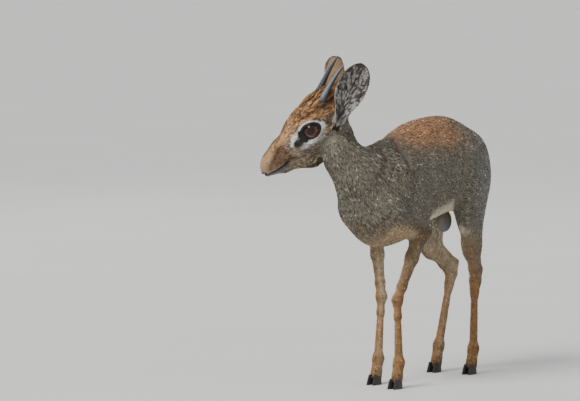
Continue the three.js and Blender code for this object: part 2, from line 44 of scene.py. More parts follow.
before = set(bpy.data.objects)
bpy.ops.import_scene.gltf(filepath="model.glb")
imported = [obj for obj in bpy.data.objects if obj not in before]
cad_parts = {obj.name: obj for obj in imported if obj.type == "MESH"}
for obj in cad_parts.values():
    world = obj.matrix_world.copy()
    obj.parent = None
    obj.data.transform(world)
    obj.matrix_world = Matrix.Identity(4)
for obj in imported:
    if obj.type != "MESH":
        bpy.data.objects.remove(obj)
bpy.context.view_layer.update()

MM = 0.001


def vec(*numbers):
    return np.array(numbers, float)


def unit(v):
    return v / np.linalg.norm(v)


def vecs(*places):
    return [vec(*place) for place in places]


# The animal's build in millimetres: the muzzle side is -X, its left side -Y, and its soles stand on Z = 0.
RIBS = (vec(-88, 0, 298), vec(88, 51, 79), 12)
BARREL = (vec(-4, 0, 328), vec(100, 57, 80), -12)
CROUP = (vec(56, 0, 344), vec(74, 45, 65), 0)
BREAST = (vec(-140, 0, 264), vec(42, 36, 42), 0)
SEAT = (vec(104, 0, 318), vec(34, 32, 46), 0)
WITHERS = vecs((-140, 2, 364), (-106, 0, 371))
NECK = vecs((-126, 0, 300), (-168, 8, 328), (-194, 25, 359), (-184, 37, 392))
NECK_RADII = [53, 43, 29, 25]
# The head's own frame: its origin at the back of the jaw, X to the nose, Y to its left, Z up.
HEAD_ORIGIN = vec(-175, 34, 397)
HEAD_FORWARD = unit(vec(-0.491, 0.7, -0.518))
HEAD_LEFT = unit(vec(-0.631, -0.696, -0.342))
HEAD_UP = unit(np.cross(HEAD_FORWARD, HEAD_LEFT))
HEAD_AXES = np.stack([HEAD_FORWARD, HEAD_LEFT, HEAD_UP])
# Each leg from its top to its toe: shoulder or hip, elbow or stifle, knee or hock, fetlock, toe.
LEGS = {
    "foreleg_left": vecs(
        (-122, -40, 285), (-76, -45, 244), (-121, -29, 137), (-113, -27, 40), (-122, -27, 0)
    ),
    "foreleg_right": vecs((-118, 40, 285), (-68, 45, 244), (-74, 29, 135), (-86, 27, 40), (-96, 27, 0)),
    "hindleg_left": vecs((86, -31, 332), (60, -48, 256), (108, -31, 147), (106, -30, 40), (96, -30, 0)),
    "hindleg_right": vecs((84, 31, 332), (40, 45, 246), (142, 33, 152), (100, 30, 42), (88, 30, 0)),
}
TAIL = vecs((124, 0, 357), (148, 0, 350), (158, 0, 314))
SCROTUM = (vec(69, 2, 243), vec(12.5, 12, 18))
EYE_CENTRE = vec(40.5, 16.6, 43)
EYE_RADIUS = 15.2
EYE_LOOK = unit(vec(0.2, 0.97, 0.12))
EYE_HALF = (12.0, 10.4)
MOUTH_BACK, MOUTH_FRONT, MOUTH_HEIGHT, MOUTH_RISE = 93, 126, 8.6, 1.3
NOSTRIL_CENTRE = vec(137, 5.8, 11.6)
GLAND_CENTRE = vec(70, 22.5, 34)
HORN_LINE = vecs((21, 12.5, 58), (-18, 14.5, 88), (-53, 17.5, 108))
HORN_BASE = 9.2
EAR_ROOT = vec(4, 24, 30)
EAR_TIPS = {"left": vec(-76, 40, 106), "right": vec(-54.5, -92, 64.5)}
EAR_OPENING = vec(0.2, 0.97, 0.1)
EAR_WIDTH, EAR_ROOT_WIDTH, EAR_BOW = 25, 15, 9
HOOF_LENGTH, HOOF_WIDTH, HOOF_HEIGHT, HOOF_APART = 25, 9.6, 13, 5.4
SKIN_END = 11.5
SKIN_BOX = (vec(-282, -82, -2), vec(176, 152, 484))
SKIN_PITCH, QUICK_PITCH = 2.2, 3.2
TUFTS_PER_PIECE = 19000
BAKE_PATCH = 0.003
EYE_BULGE = 0.9
IRIS_SPAN, IRIS_RADIUS = 40.0, 12.0
PUPIL_HALF, PUPIL_RISE = (7.4, 5.2), 1.0
HORN_RINGS = 19

# The view: its directions, its distance, and the image's place of the floor point between the feet.
VIEW_RIGHT, VIEW_UP, VIEW_BACK = vecs((0.545, -0.839, 0), (0.073, 0.047, 0.996), (-0.835, -0.543, 0.087))
CAMERA_AWAY = 7000
IMAGE_MIDDLE, FLOOR_POINT, PIXELS_PER_MM = (290, 200.5), (422, 379), 0.64
BODY_MIDDLE = 0.28


def from_head(q):
    """Points of the head's own frame, in the animal's frame."""
    return HEAD_ORIGIN + np.asarray(q, float) @ HEAD_AXES


def to_head(p):
    return (p - HEAD_ORIGIN) @ HEAD_AXES.T


def row_shift():
    """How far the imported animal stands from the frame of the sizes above."""
    low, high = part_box("eye_left")
    return np.array((low + high) / 2) / MM - from_head(EYE_CENTRE)


SHIFT = row_shift()


def ramp(x, low, high):
    t = np.clip((x - low) / (high - low), 0, 1)
    return t * t * (3 - 2 * t)


def smooth(a, b, width):
    near = np.maximum(width - np.abs(a - b), 0) / width
    return np.minimum(a, b) - near * near * width * 0.25


def blend(width, *forms):
    def form(p):
        distance = forms[0](p)
        for other in forms[1:]:
            distance = smooth(distance, other(p), width)
        return distance

    return form


def egg(centre, size, pitch=0.0):
    cos, sin = math.cos(math.radians(pitch)), math.sin(math.radians(pitch))

    def form(p):
        x, y, z = (p - centre).T
        u, v, w = (x * cos + z * sin) / size[0], y / size[1], (z * cos - x * sin) / size[2]
        scaled = np.sqrt(u * u + v * v + w * w)
        slope = np.sqrt((u / size[0]) ** 2 + (v / size[1]) ** 2 + (w / size[2]) ** 2)
        return scaled * (scaled - 1) / np.maximum(slope, 1e-9)

    return form


def rod(start, end, r0, r1, flat=1.0):
    run = end - start
    square = run @ run

    def form(p):
        q = p - start
        along = np.clip((q @ run) / square, 0, 1)
        q = q - along[:, None] * run
        across = q[:, 1] / flat
        return (np.sqrt(q[:, 0] ** 2 + across**2 + q[:, 2] ** 2) - r0 - (r1 - r0) * along) * min(1, flat)

    return form


def chain(points, radii, flat, width):
    rods = [rod(a, b, r0, r1, flat) for a, b, r0, r1 in zip(points, points[1:], radii, radii[1:])]
    return blend(width, *rods)


def between(a, b, share):
    return a + (b - a) * share


def shoulder_form(leg):
    shoulder, elbow = leg[:2]
    return blend(
        12,
        rod(shoulder + vec(8, 0, 46), shoulder, 22, 32, 0.5),
        rod(shoulder + vec(-26, 0, -8), elbow, 26, 20, 0.72),
        rod(elbow, elbow + vec(14, 0, 6), 16, 8, 0.7),
    )


def fore_form(leg):
    _, elbow, knee, fetlock, toe = leg
    line = [elbow, between(elbow, knee, 0.4), between(elbow, knee, 0.8)]
    line += [knee, between(knee, fetlock, 0.25), fetlock]
    return blend(
        8,
        rod(elbow, elbow + vec(12, 0, 4), 13, 7, 0.7),
        chain(line, [17, 12.5, 8.2, 9, 6.2, 8], 0.88, 6),
        rod(fetlock, between(fetlock, toe, 0.8), 8, 9.4, 1.04),
    )


def thigh_form(leg):
    hip, stifle, hock = leg[:3]
    seat = vec(hip[0] + 26, hip[1] * 0.9, hip[2] - 34)
    return blend(20, rod(hip, stifle, 50, 28, 0.5), rod(seat, between(stifle, hock, 0.5), 30, 16, 0.6))


def hind_form(leg):
    _, stifle, hock, fetlock, toe = leg
    heel = hock + vec(12, 0, 17)
    low, ankle = between(stifle, hock, 0.42), between(stifle, hock, 0.8)
    return blend(
        8,
        rod(stifle, low, 25, 16.5, 0.62),
        chain([low, ankle, hock, between(hock, fetlock, 0.2), fetlock], [16, 9, 9.4, 6.8, 8.2], 0.84, 6),
        rod(between(stifle, hock, 0.55) + vec(12, 0, 8), heel, 7, 5.4, 0.9),
        rod(heel, between(hock, fetlock, 0.12), 5.4, 6.4, 0.9),
        rod(between(stifle, hock, 0.62) + vec(6, 0, 5), hock + vec(5, 0, 6), 9, 7, 0.55),
        rod(fetlock, between(fetlock, toe, 0.8), 8.2, 9.4, 1.04),
    )


trunk_form = blend(36, egg(*RIBS), egg(*BARREL), egg(*CROUP), egg(*BREAST), egg(*SEAT))
neck_form = chain(NECK, NECK_RADII, 0.86, 20)
skull_form = blend(
    10,
    blend(14, egg(vec(20, 0, 38), vec(44, 27, 38)), egg(vec(46, 0, 34), vec(42, 25.5, 37))),
    blend(
        14,
        rod(vec(58, 0, 34), vec(118, 0, 23), 27, 13.5, 0.74),
        rod(vec(96, 0, 30), vec(116, 0, 20), 15, 12.5, 0.94),
    ),
    rod(vec(116, 0, 20), vec(128, 0, 17), 12, 9.5, 0.98),
    chain([vec(20, 0, -4), vec(62, 0, -7), vec(106, 0, 1), vec(121, 0, 4)], [25, 17.5, 9, 6.5], 0.78, 8),
)
mass_forms = [shoulder_form(j) if n.startswith("fore") else thigh_form(j) for n, j in LEGS.items()]
limb_forms = [
    fore_form(j) if n.startswith("fore") else blend(14, thigh_form(j), hind_form(j)) for n, j in LEGS.items()
]
torso_form = blend(16, blend(30, blend(22, trunk_form, *mass_forms), neck_form), rod(*WITHERS, 12, 14, 0.8))
limbs_form = blend(4, *limb_forms)
tail_form = chain(TAIL, [10, 7.5, 2.6], 0.9, 6)


def head_form(p):
    return skull_form(to_head(p))


def head_share(p):
    """1 on the head, 0 on the trunk and legs."""
    return ramp(torso_form(p) - head_form(p), -6, 22) * ramp(p[:, 2], 300, 330)


def coat_depth(p):
    """Thickness of the coat over the skin."""
    low = ramp(p[:, 2], 150, 260)
    return 0.7 + 2.3 * low * (1 - 0.8 * head_share(p))


def body_form(p):
    body = smooth(torso_form(p), head_form(p), 16)
    body = smooth(body, limbs_form(p), 9)
    return smooth(body, tail_form(p), 8)


def skin_form(p):
    return np.maximum(body_form(p) + coat_depth(p), SKIN_END - p[:, 2])


def slope_of(form, p, step=0.4):
    axes = np.eye(3) * step
    return np.stack([(form(p + a) - form(p - a)) / (2 * step) for a in axes], 1)


def settle(form, p, rounds=3):
    """Moves points on to the form's surface, and gives its normals there."""
    for _ in range(rounds):
        slope = slope_of(form, p)
        size = np.maximum((slope**2).sum(1), 0.05)
        p = p - np.clip(form(p) / size, -3, 3)[:, None] * slope
    slope = slope_of(form, p)
    return p, slope / np.maximum(np.linalg.norm(slope, axis=1, keepdims=True), 1e-9)


def surface_net(form, low, high, pitch, block=5):
    """A closed mesh of quads where the form is zero, from a grid that is only worked out near the surface."""
    count = (np.ceil((high - low) / (pitch * block)).astype(int)) * block + 1
    coarse = [np.arange(0, n, block) for n in count]
    centres = [low[i] + (coarse[i][:-1] + block / 2) * pitch for i in range(3)]
    grid = np.stack(np.meshgrid(*centres, indexing="ij"), -1).reshape(-1, 3)
    rough = form(grid)
    near = (np.abs(rough) < pitch * block * 1.6 + 4).reshape([len(c) for c in centres])
    values = np.repeat(np.repeat(np.repeat(rough.reshape(near.shape), block, 0), block, 1), block, 2)
    values = np.pad(values, ((0, 1),) * 3, mode="edge").astype(np.float32)
    active = np.repeat(np.repeat(np.repeat(near, block, 0), block, 1), block, 2)
    active = np.pad(active, ((0, 1),) * 3, mode="edge")
    for axis in range(3):
        active |= np.roll(active, 1, axis)
    index = np.argwhere(active)
    for part in np.array_split(np.arange(len(index)), max(1, len(index) // 200000)):
        i = index[part]
        values[i[:, 0], i[:, 1], i[:, 2]] = form(low + i * pitch)
    inside = values < 0
    corners = [(i, j, k) for i in (0, 1) for j in (0, 1) for k in (0, 1)]
    cut = [slice(None, -1), slice(1, None)]
    total = sum(inside[cut[i], cut[j], cut[k]].astype(np.int8) for i, j, k in corners)
    cells = np.argwhere((total > 0) & (total < 8))
    number = -np.ones(total.shape, np.int64)
    number[tuple(cells.T)] = np.arange(len(cells))
    sums, hits = np.zeros((len(cells), 3)), np.zeros(len(cells))
    for a in corners:
        for axis in range(3):
            if a[axis]:
                continue
            b = list(a)
            b[axis] = 1
            va, vb = values[tuple((cells + a).T)], values[tuple((cells + b).T)]
            crossed = (va < 0) != (vb < 0)
            share = np.where(crossed, va / np.where(crossed, va - vb, 1), 0)
            point = np.tile(np.array(a, float), (len(cells), 1))
            point[:, axis] += share
            sums += point * crossed[:, None]
            hits += crossed
    points = low + (cells + sums / hits[:, None]) * pitch
    quads = []
    for axis in range(3):
        b, c = (axis + 1) % 3, (axis + 2) % 3
        upper = [slice(None)] * 3
        lower = [slice(None)] * 3
        upper[axis], lower[axis] = slice(1, None), slice(None, -1)
        first, second = inside[tuple(lower)], inside[tuple(upper)]
        edge = np.argwhere(first != second)
        edge = edge[(edge[:, b] > 0) & (edge[:, c] > 0)]
        flip = first[tuple(edge.T)]
        ring = []
        for db, dc in ((1, 1), (0, 1), (0, 0), (1, 0)):
            cell = edge.copy()
            cell[:, b] -= db
            cell[:, c] -= dc
            ring.append(number[tuple(cell.T)])
        ring = np.stack(ring, 1)
        ring[~flip] = ring[~flip][:, ::-1]
        quads.append(ring)
    return points, np.concatenate(quads)


def eye_axes():
    ahead = unit(vec(1, 0, 0) - EYE_LOOK[0] * EYE_LOOK)
    return ahead, np.cross(ahead, EYE_LOOK)


def mirrored(q):
    """Head points with both sides laid on the left one."""
    return np.column_stack([q[:, 0], np.abs(q[:, 1]), q[:, 2]])


def eye_opening(turn):
    """Half angle of the eye's opening in each direction round the line of sight."""
    half = 1 / np.hypot(np.cos(turn) / EYE_HALF[0], np.sin(turn) / EYE_HALF[1])
    corner = 1 + 0.16 * bell(turn + 0.45, 0.35) + 0.05 * bell(np.abs(turn) - 3.0, 0.4)
    return np.arcsin(np.clip(half * corner / EYE_RADIUS, 0, 0.95))


def eye_measure(m):
    """1 at the edge of the eye's opening, less inside it and more round it."""
    ahead, upward = eye_axes()
    v = m - EYE_CENTRE
    reach = np.maximum(np.linalg.norm(v, axis=1), 1e-6)
    v = v / reach[:, None]
    turn = np.arctan2(v @ upward, v @ ahead)
    away = 1.6 * ramp(reach, EYE_RADIUS + 7, EYE_RADIUS + 16)
    return np.arccos(np.clip(v @ EYE_LOOK, -1, 1)) / eye_opening(turn) + away, turn


def mouth_height(x):
    share = np.clip((x - MOUTH_BACK) / (MOUTH_FRONT + 14 - MOUTH_BACK), 0, 1)
    return MOUTH_HEIGHT + MOUTH_RISE * (1 - share) ** 2


def bell(x, width):
    return np.exp(-((x / width) ** 2))


def nostril_measure(m):
    turn = math.radians(34)
    d = m - NOSTRIL_CENTRE
    a = d[:, 0] * math.cos(turn) + d[:, 1] * math.sin(turn)
    b = d[:, 1] * math.cos(turn) - d[:, 0] * math.sin(turn)
    return np.sqrt((b / 4.2) ** 2 + (a / 3.4) ** 2 + (d[:, 2] / 2.9) ** 2)


def gland_measure(m):
    return np.hypot((m[:, 0] - GLAND_CENTRE[0]) * 0.9, m[:, 2] - GLAND_CENTRE[2]) + 4 * (m[:, 1] < 8)


def from_line(m, start, end):
    """Distance in the head's side view from a line between two (x, z) points."""
    start, end = np.array(start, float), np.array(end, float)
    q, run = m[:, [0, 2]] - start, end - start
    along = np.clip(q @ run / (run @ run), 0, 1)
    return np.linalg.norm(q - along[:, None] * run, axis=1)


def sculpt_face(p, normal):
    """Adds lids, lips, mouth line, nostrils, glands and folds to the head's skin."""
    q = to_head(p)
    m = mirrored(q)
    share = ramp(q[:, 0], 8, 20) * (head_share(p) > 0.3)
    nose = bell(np.linalg.norm(m - vec(133, 0, 11), axis=1), 11) * share
    p = p + nose[:, None] * (3.2 * HEAD_FORWARD - 3.0 * HEAD_UP)
    q = to_head(p)
    m = mirrored(q)
    above = m[:, 2] - mouth_height(m[:, 0])
    along = ramp(m[:, 0], MOUTH_BACK - 3, MOUTH_BACK + 6)
    rise = -2.6 * bell(above, 1.3) * along
    rise += 1.5 * bell(above + 3.6, 2.3) * ramp(m[:, 0], MOUTH_BACK, MOUTH_BACK + 12)
    rise += 0.8 * bell(above - 3.0, 1.7) * along
    gland = gland_measure(m)
    rise += 0.8 * bell(gland - 6.0, 2.2) - 1.6 * bell(gland, 3.0)
    rise -= 1.9 * bell(from_line(m, (99, 37), (122, 21)), 4.0) * (m[:, 1] > 3)
    rise -= 0.9 * bell(from_line(m, (98, 17), (83, 8)), 1.8)
    rise += 0.7 * bell(from_line(m, (94, 21), (80, 14)), 3.0)
    rise -= 0.9 * bell(from_line(m, (62, 36), (53, 39)), 3.0) * (m[:, 1] > 10)
    rise += 1.2 * bell(from_line(m, (28, 58), (50, 57)), 4.5) * (m[:, 1] > 10)
    rise += 0.9 * bell(from_line(m, (34, 24), (66, 20)), 4.5) * (m[:, 1] > 10)
    near = nostril_measure(m)
    rise += 0.7 * bell(near - 1.35, 0.35) - 3.4 * np.exp(-1.3 * near**2)
    p = p + normal * (rise * share)[:, None]
    q = to_head(p)
    side = np.where(q[:, 1] < 0, -1.0, 1.0)
    m = mirrored(q)
    e, turn = eye_measure(m)
    v = m - EYE_CENTRE
    r = np.linalg.norm(v, axis=1)
    lid = EYE_RADIUS + 1.3 + 0.7 * bell(turn - 1.5, 0.9) + 0.25 * bell(e - 1.14, 0.07)
    skin = np.maximum(r, EYE_RADIUS + 0.7)
    outer = lid + (skin - lid) * ramp(e, 1.12, 1.9)
    target = (EYE_RADIUS - 1.6) + (outer - EYE_RADIUS + 1.6) * ramp(e, 0.95, 1.03)
    r_new = np.where(e < 2.2, target, r)
    m = EYE_CENTRE + v * (r_new / np.maximum(r, 1e-6))[:, None]
    return from_head(np.column_stack([m[:, 0], m[:, 1] * side, m[:, 2]]))


def tone(r, g, b):
    """A colour given as eight-bit screen values, in the renderer's own scale."""
    c = np.array([r, g, b]) / 255
    return np.where(c <= 0.04045, c / 12.92, ((c + 0.055) / 1.055) ** 2.4)


GREY_BROWN = tone(100, 94, 81)
RUSSET_BACK = tone(146, 107, 73)
RUMP_GREY = tone(102, 100, 94)
CREAM = tone(204, 192, 166)
BRISKET = tone(156, 134, 102)
CHEST_EDGE = tone(96, 72, 46)
LEG_TAN = tone(138, 100, 60)
LEG_BROWN = tone(116, 90, 60)
LEG_GREY = tone(112, 99, 78)
LEG_PALE = tone(168, 150, 122)
FACE_RUFOUS = tone(166, 126, 84)
FACE_DARK = tone(62, 40, 24)
CHEEK = tone(122, 109, 89)
MUZZLE_BROWN = tone(104, 78, 54)
CHIN = tone(102, 91, 72)
THROAT = tone(110, 86, 56)
NOSE = tone(150, 124, 96)
EYE_RING = tone(222, 224, 226)
BLACK_SKIN = tone(20, 17, 17)
LIP_GREY = tone(92, 94, 104)
LIP_PALE = tone(176, 168, 158)
TEMPLE = tone(84, 66, 48)
EAR_TAN = tone(150, 122, 88)
EAR_DARK = tone(48, 38, 32)
EAR_PALE = tone(190, 186, 181)
EAR_SKIN = tone(84, 76, 72)


FACE_LINE = ([-20, 10, 40, 52, 83, 99, 112, 126], [46, 54, 60, 57, 45, 38, 29, 16])


def speckle(p, size, seed):
    """Smooth random values from 0 to 1 over space, with spots of about the given size."""
    cell = np.floor(p / size)
    f = p / size - cell
    f = f * f * (3 - 2 * f)
    cell = cell.astype(np.int64)
    total = np.zeros(len(p))
    for corner in np.ndindex(2, 2, 2):
        i, j, k = (cell + corner).T
        mixed = (i * 73856093) ^ (j * 19349663) ^ (k * 83492791) ^ (seed * 2654435761)
        mixed = ((mixed ^ (mixed >> 13)) * 1274126177) & 0xFFFFFF
        weight = np.prod(np.where(np.array(corner), f, 1 - f), axis=1)
        total += weight * mixed / 0xFFFFFF
    return total


def lay(colour, over, mask):
    return colour + (over - colour) * np.clip(mask, 0, 1)[:, None]


def head_marking(m, n_up):
    """Colours of the face for head points laid on the left side, with painted shade in the crease behind the
    snout and along the fold from the mouth's corner.
    """
    x, y, z = m.T
    colour = np.tile(CHEEK, (len(m), 1))
    line = np.interp(x, *FACE_LINE)
    colour = lay(colour, CHIN, ramp(-z, -4, 8) * ramp(x, 50, 104) * 0.6)
    colour = lay(colour, THROAT, bell(z + 17, 8) * ramp(x, -10, 12) * (1 - ramp(x, 58, 76)) * 0.85)
    colour = lay(colour, TEMPLE, bell(from_line(m, (2, 44), (16, 52)), 9) * 0.5)
    colour = lay(colour, FACE_RUFOUS, ramp(z - line, -6, 5))
    colour = lay(colour, MUZZLE_BROWN, ramp(x, 80, 100) * ramp(z, 8, 14) * (1 - ramp(z - line, 0, 9)) * 0.92)
    streak = speckle(vec(0.14, 1, 1) * m, 1.5, 3)
    pale_streak = speckle(vec(0.2, 1, 1) * m, 1.4, 13)
    upper = ramp(z - line, -2, 8)
    colour = lay(colour, NOSE * 1.35, ramp(pale_streak, 0.5, 0.72) * upper * 0.5)
    streaked = ramp(streak, 0.46, 0.66) * upper * (1 - 0.6 * ramp(x, 96, 120))
    colour = lay(colour, FACE_DARK, streaked * 0.72)
    tick = speckle(vec(0.42, 1, 1) * m, 1.5, 21)
    lower = 1 - 0.8 * upper
    colour = lay(colour, colour * 0.34, ramp(tick, 0.52, 0.72) * lower * 0.75)
    colour = lay(colour, colour * 1.75, ramp(-tick, -0.46, -0.28) * lower * 0.7)
    ridge = bell(y, 3.4) * ramp(x, 60, 80) * (1 - ramp(x, 126, 134)) * (n_up > 0.2)
    colour = lay(colour, FACE_DARK, ridge * 0.7)
    shading = np.minimum(from_line(m, (98, 37), (108, 29)), from_line(m, (108, 29), (124, 18)))
    colour = lay(colour, NOSE, ramp(x - 0.9 * z, 88, 98) * ramp(x, 108, 122) * 0.8)
    colour = lay(colour, FACE_DARK, bell(shading, 4.6) * (y > 3) * 0.72)
    # Painted shade: a dark line along the fold from the mouth's corner.
    fold = np.minimum(from_line(m, (98, 17), (83, 8)), from_line(m, (83, 8), (70, 5)))
    colour = lay(colour, FACE_DARK, bell(fold, 2.0) * 0.5)
    e, turn = eye_measure(m)
    broken = 0.5 + 0.6 * speckle(vec(0.6, 1, 1) * m, 1.3, 9)
    below = bell(turn + 0.9, 1.1)
    ring = 1 - ramp(e, 1.36 + 0.1 * below, 1.52 + 0.22 * below)
    band = np.minimum(from_line(m, (46, 56), (72, 45)), from_line(m, (72, 45), (78, 35)))
    colour = lay(colour, EYE_RING, np.maximum(ring, (1 - ramp(band, 0.8, 5.2)) * (y > 8)) * broken)
    colour = lay(colour, EYE_RING, bell(from_line(m, (32, 27), (66, 24)), 4.6) * 0.6 * (y > 8) * broken)
    colour = lay(colour, EAR_DARK, bell(from_line(m, (30, 57), (22, 57)), 2.4) * (y > 14) * 0.8)
    gland = gland_measure(m)
    colour = lay(colour, BLACK_SKIN, (1 - ramp(gland, 3.6, 9.4)) * (y > 8))
    tear_line = 1 - ramp(from_line(m, (64, 36), (54, 38)), 2.4, 6.0)
    colour = lay(colour, BLACK_SKIN, tear_line * (y > 10) * 0.95)
    corner = 0.1 * bell(turn + 0.2, 0.9)
    colour = lay(colour, BLACK_SKIN, 1 - ramp(e, 1.26 + corner, 1.38 + corner))
    above = z - mouth_height(x)
    along = ramp(x, MOUTH_BACK - 2, MOUTH_BACK + 4)
    colour = lay(colour, LIP_GREY, bell(above + 3.4, 2.6) * ramp(x, 95, 101))
    colour = lay(colour, LIP_PALE, bell(above - 2.4, 1.0) * ramp(x, 98, 106) * 0.6)
    colour = lay(colour, BLACK_SKIN, np.minimum(1.3 * bell(above, 1.5), 1) * along)
    colour = lay(colour, BLACK_SKIN, 1 - ramp(nostril_measure(m), 0.95, 1.45))
    return colour


def body_marking(p, normal):
    """Colours of trunk, neck, legs and tail, with painted shade in the shoulder crease, along the chest's
    under edge and on the backs of the lower legs, and painted light on the legs' fronts.
    """
    x, y, z = p.T
    inward = -normal[:, 1] * np.sign(y)
    down = -normal[:, 2]
    colour = np.tile(GREY_BROWN, (len(p), 1))
    colour = lay(colour, RUMP_GREY, ramp(x, 40, 100))
    russet = ramp(z + 0.02 * x, 348, 392) * ramp(x, -116, -66) * (1 - 0.85 * ramp(x, 6, 70))
    colour = lay(colour, RUSSET_BACK, russet)
    colour = lay(colour, BRISKET, ramp(down, 0.25, 0.7) * (1 - ramp(x, -80, -50)) * ramp(x, -178, -150) * 0.9)
    # Painted shade: a dark line in the crease behind the shoulder blade.
    crease = bell(from_line(p, (-90, 392), (-114, 350)), 5) * ramp(np.abs(y), 3, 14)
    colour = lay(colour, FACE_DARK, crease * 0.65)
    # Painted shade: a dark brown band where the chest turns under.
    edge = bell(down - 0.2, 0.34) * (1 - ramp(x, -66, -40)) * (1 - ramp(z, 236, 270)) * ramp(z, 204, 214)
    colour = lay(colour, CHEST_EDGE, edge * 0.9)
    belly = ramp(down, 0.38, 0.72) * ramp(x, -66, -44) * ramp(z, 215, 235)
    colour = lay(colour, CREAM, belly * 0.8)
    groin = ramp(inward, 0.45, 0.9) * ramp(x, 20, 50) * ramp(z, 180, 240) * (1 - ramp(z, 275, 300))
    front = ramp(-normal[:, 0], -0.1, 0.7)
    leg = lay(np.tile(LEG_GREY, (len(p), 1)), LEG_BROWN, 1 - ramp(z, 130, 200))
    # The legs' tan, laid thicker on their front faces: partly their own colour, partly painted light on the
    # lit fronts.
    leg = lay(leg, LEG_TAN, front * (0.35 + 0.5 * (1 - ramp(z, 120, 190))))
    leg = lay(leg, LEG_PALE, ramp(inward, 0.1, 0.7) * 0.8)
    leg = lay(leg, LEG_TAN, (1 - ramp(z, 90, 150)) * 0.5)
    leg = lay(leg, CHEST_EDGE, (1 - ramp(z, 14, 34)) * 0.6)
    # Painted shade: the rear faces of the lower legs darker.
    leg = lay(leg, CHEST_EDGE, (1 - ramp(z, 60, 130)) * ramp(normal[:, 0], 0.1, 0.7) * 0.5)
    colour = lay(colour, leg, 1 - ramp(z, 196, 246))
    colour = lay(colour, CREAM, groin * 0.5)
    tail = ramp(tail_form(p) * -1, -3.5, -1.5) * ramp(x, 128, 138)
    colour = lay(colour, CREAM, tail * ramp(-normal[:, 0], 0.0, 0.5))
    return colour


def marking(p, normal):
    head = head_share(p)
    q = to_head(p)
    face = head_marking(mirrored(q), normal @ HEAD_UP)
    face = lay(face, GREY_BROWN, 1 - ramp(q[:, 0] + 0.5 * q[:, 2], -6, 26))
    return lay(body_marking(p, normal), face, head)


def lie_of(p, normal, rng, scatter=0.22):
    """The way the hair points: back along the trunk, down the neck and legs, back from the nose."""
    head = head_share(p)[:, None]
    x, _, z = p.T
    body = np.tile(vec(1, 0, -0.42), (len(p), 1))
    neck = (ramp(-x, 96, 150) * ramp(z, 262, 318))[:, None]
    body = body * (1 - neck) + vec(0.42, -0.2, -0.9) * neck
    low = (1 - ramp(z, 205, 262))[:, None] * (normal[:, 2] > -0.75)[:, None]
    body = body * (1 - low) + vec(0.12, 0, -1) * low
    q = to_head(p)
    out = np.sign(q[:, 1]) * 0.35 * ramp(np.abs(q[:, 1]), 2, 14)
    face = -HEAD_FORWARD + out[:, None] * HEAD_LEFT - 0.25 * ramp(30 - q[:, 2], 0, 30)[:, None] * HEAD_UP
    lie = body * (1 - head) + face * head + rng.normal(0, scatter, (len(p), 3))
    lie = lie - normal * (lie * normal).sum(1, keepdims=True)
    return lie / np.maximum(np.linalg.norm(lie, axis=1, keepdims=True), 1e-6)


def mesh_object(name, points, faces, smooth_faces=True):
    """A mesh object from points in millimetres and one or more arrays of faces."""
    groups = [np.asarray(f, np.int32) for f in (faces if isinstance(faces, list) else [faces]) if len(f)]
    loops = np.concatenate([g.ravel() for g in groups])
    totals = np.concatenate([np.full(len(g), g.shape[1], np.int32) for g in groups])
    mesh = bpy.data.meshes.new(name)
    mesh.vertices.add(len(points))
    mesh.vertices.foreach_set("co", ((points + SHIFT) * MM).astype(np.float32).ravel())
    mesh.loops.add(len(loops))
    mesh.loops.foreach_set("vertex_index", loops)
    mesh.polygons.add(len(totals))
    mesh.polygons.foreach_set("loop_start", np.concatenate([[0], np.cumsum(totals)[:-1]]).astype(np.int32))
    mesh.polygons.foreach_set("use_smooth", np.full(len(totals), smooth_faces))
    mesh.update(calc_edges=True)
    obj = bpy.data.objects.new(name, mesh)
    bpy.context.scene.collection.objects.link(obj)
    return obj


def read_points(mesh):
    co = np.empty(len(mesh.vertices) * 3, np.float32)
    mesh.vertices.foreach_get("co", co)
    return co.reshape(-1, 3).astype(float) / MM - SHIFT


def write_points(mesh, points):
    mesh.vertices.foreach_set("co", ((points + SHIFT) * MM).astype(np.float32).ravel())
    mesh.update()


def read_normals(mesh):
    normal = np.empty(len(mesh.vertices) * 3, np.float32)
    mesh.vertices.foreach_get("normal", normal)
    return normal.reshape(-1, 3).astype(float)


def store_colour(mesh, name, colours):
    rgba = np.column_stack([colours, np.ones(len(colours))]).astype(np.float32)
    mesh.attributes.new(name, "FLOAT_COLOR", "POINT").data.foreach_set("color", rgba.ravel())


def store_value(mesh, name, values):
    mesh.attributes.new(name, "FLOAT", "POINT").data.foreach_set("value", np.asarray(values, np.float32))


def store_map(mesh, name, coordinates):
    """A map with one coordinate pair for each point."""
    corner = np.empty(len(mesh.loops), np.int32)
    mesh.loops.foreach_get("vertex_index", corner)
    layer = mesh.uv_layers.new(name=name)
    layer.uv.foreach_set("vector", coordinates[corner].astype(np.float32).ravel())


def grid_faces(rings, sides, closed=True):
    """Quads between rings of points; closed joins each ring's last point to its first."""
    last = sides if closed else sides - 1
    i, j = np.meshgrid(np.arange(rings - 1), np.arange(last), indexing="ij")
    i, j = i.ravel(), j.ravel()
    k = (j + 1) % sides
    return np.stack([i * sides + j, i * sides + k, (i + 1) * sides + k, (i + 1) * sides + j], 1)


def finish_piece(obj, material, slot, *nodes):
    obj.data.materials.append(material)
    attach(obj, "root")
    if nodes:
        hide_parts(*nodes)
    return obj


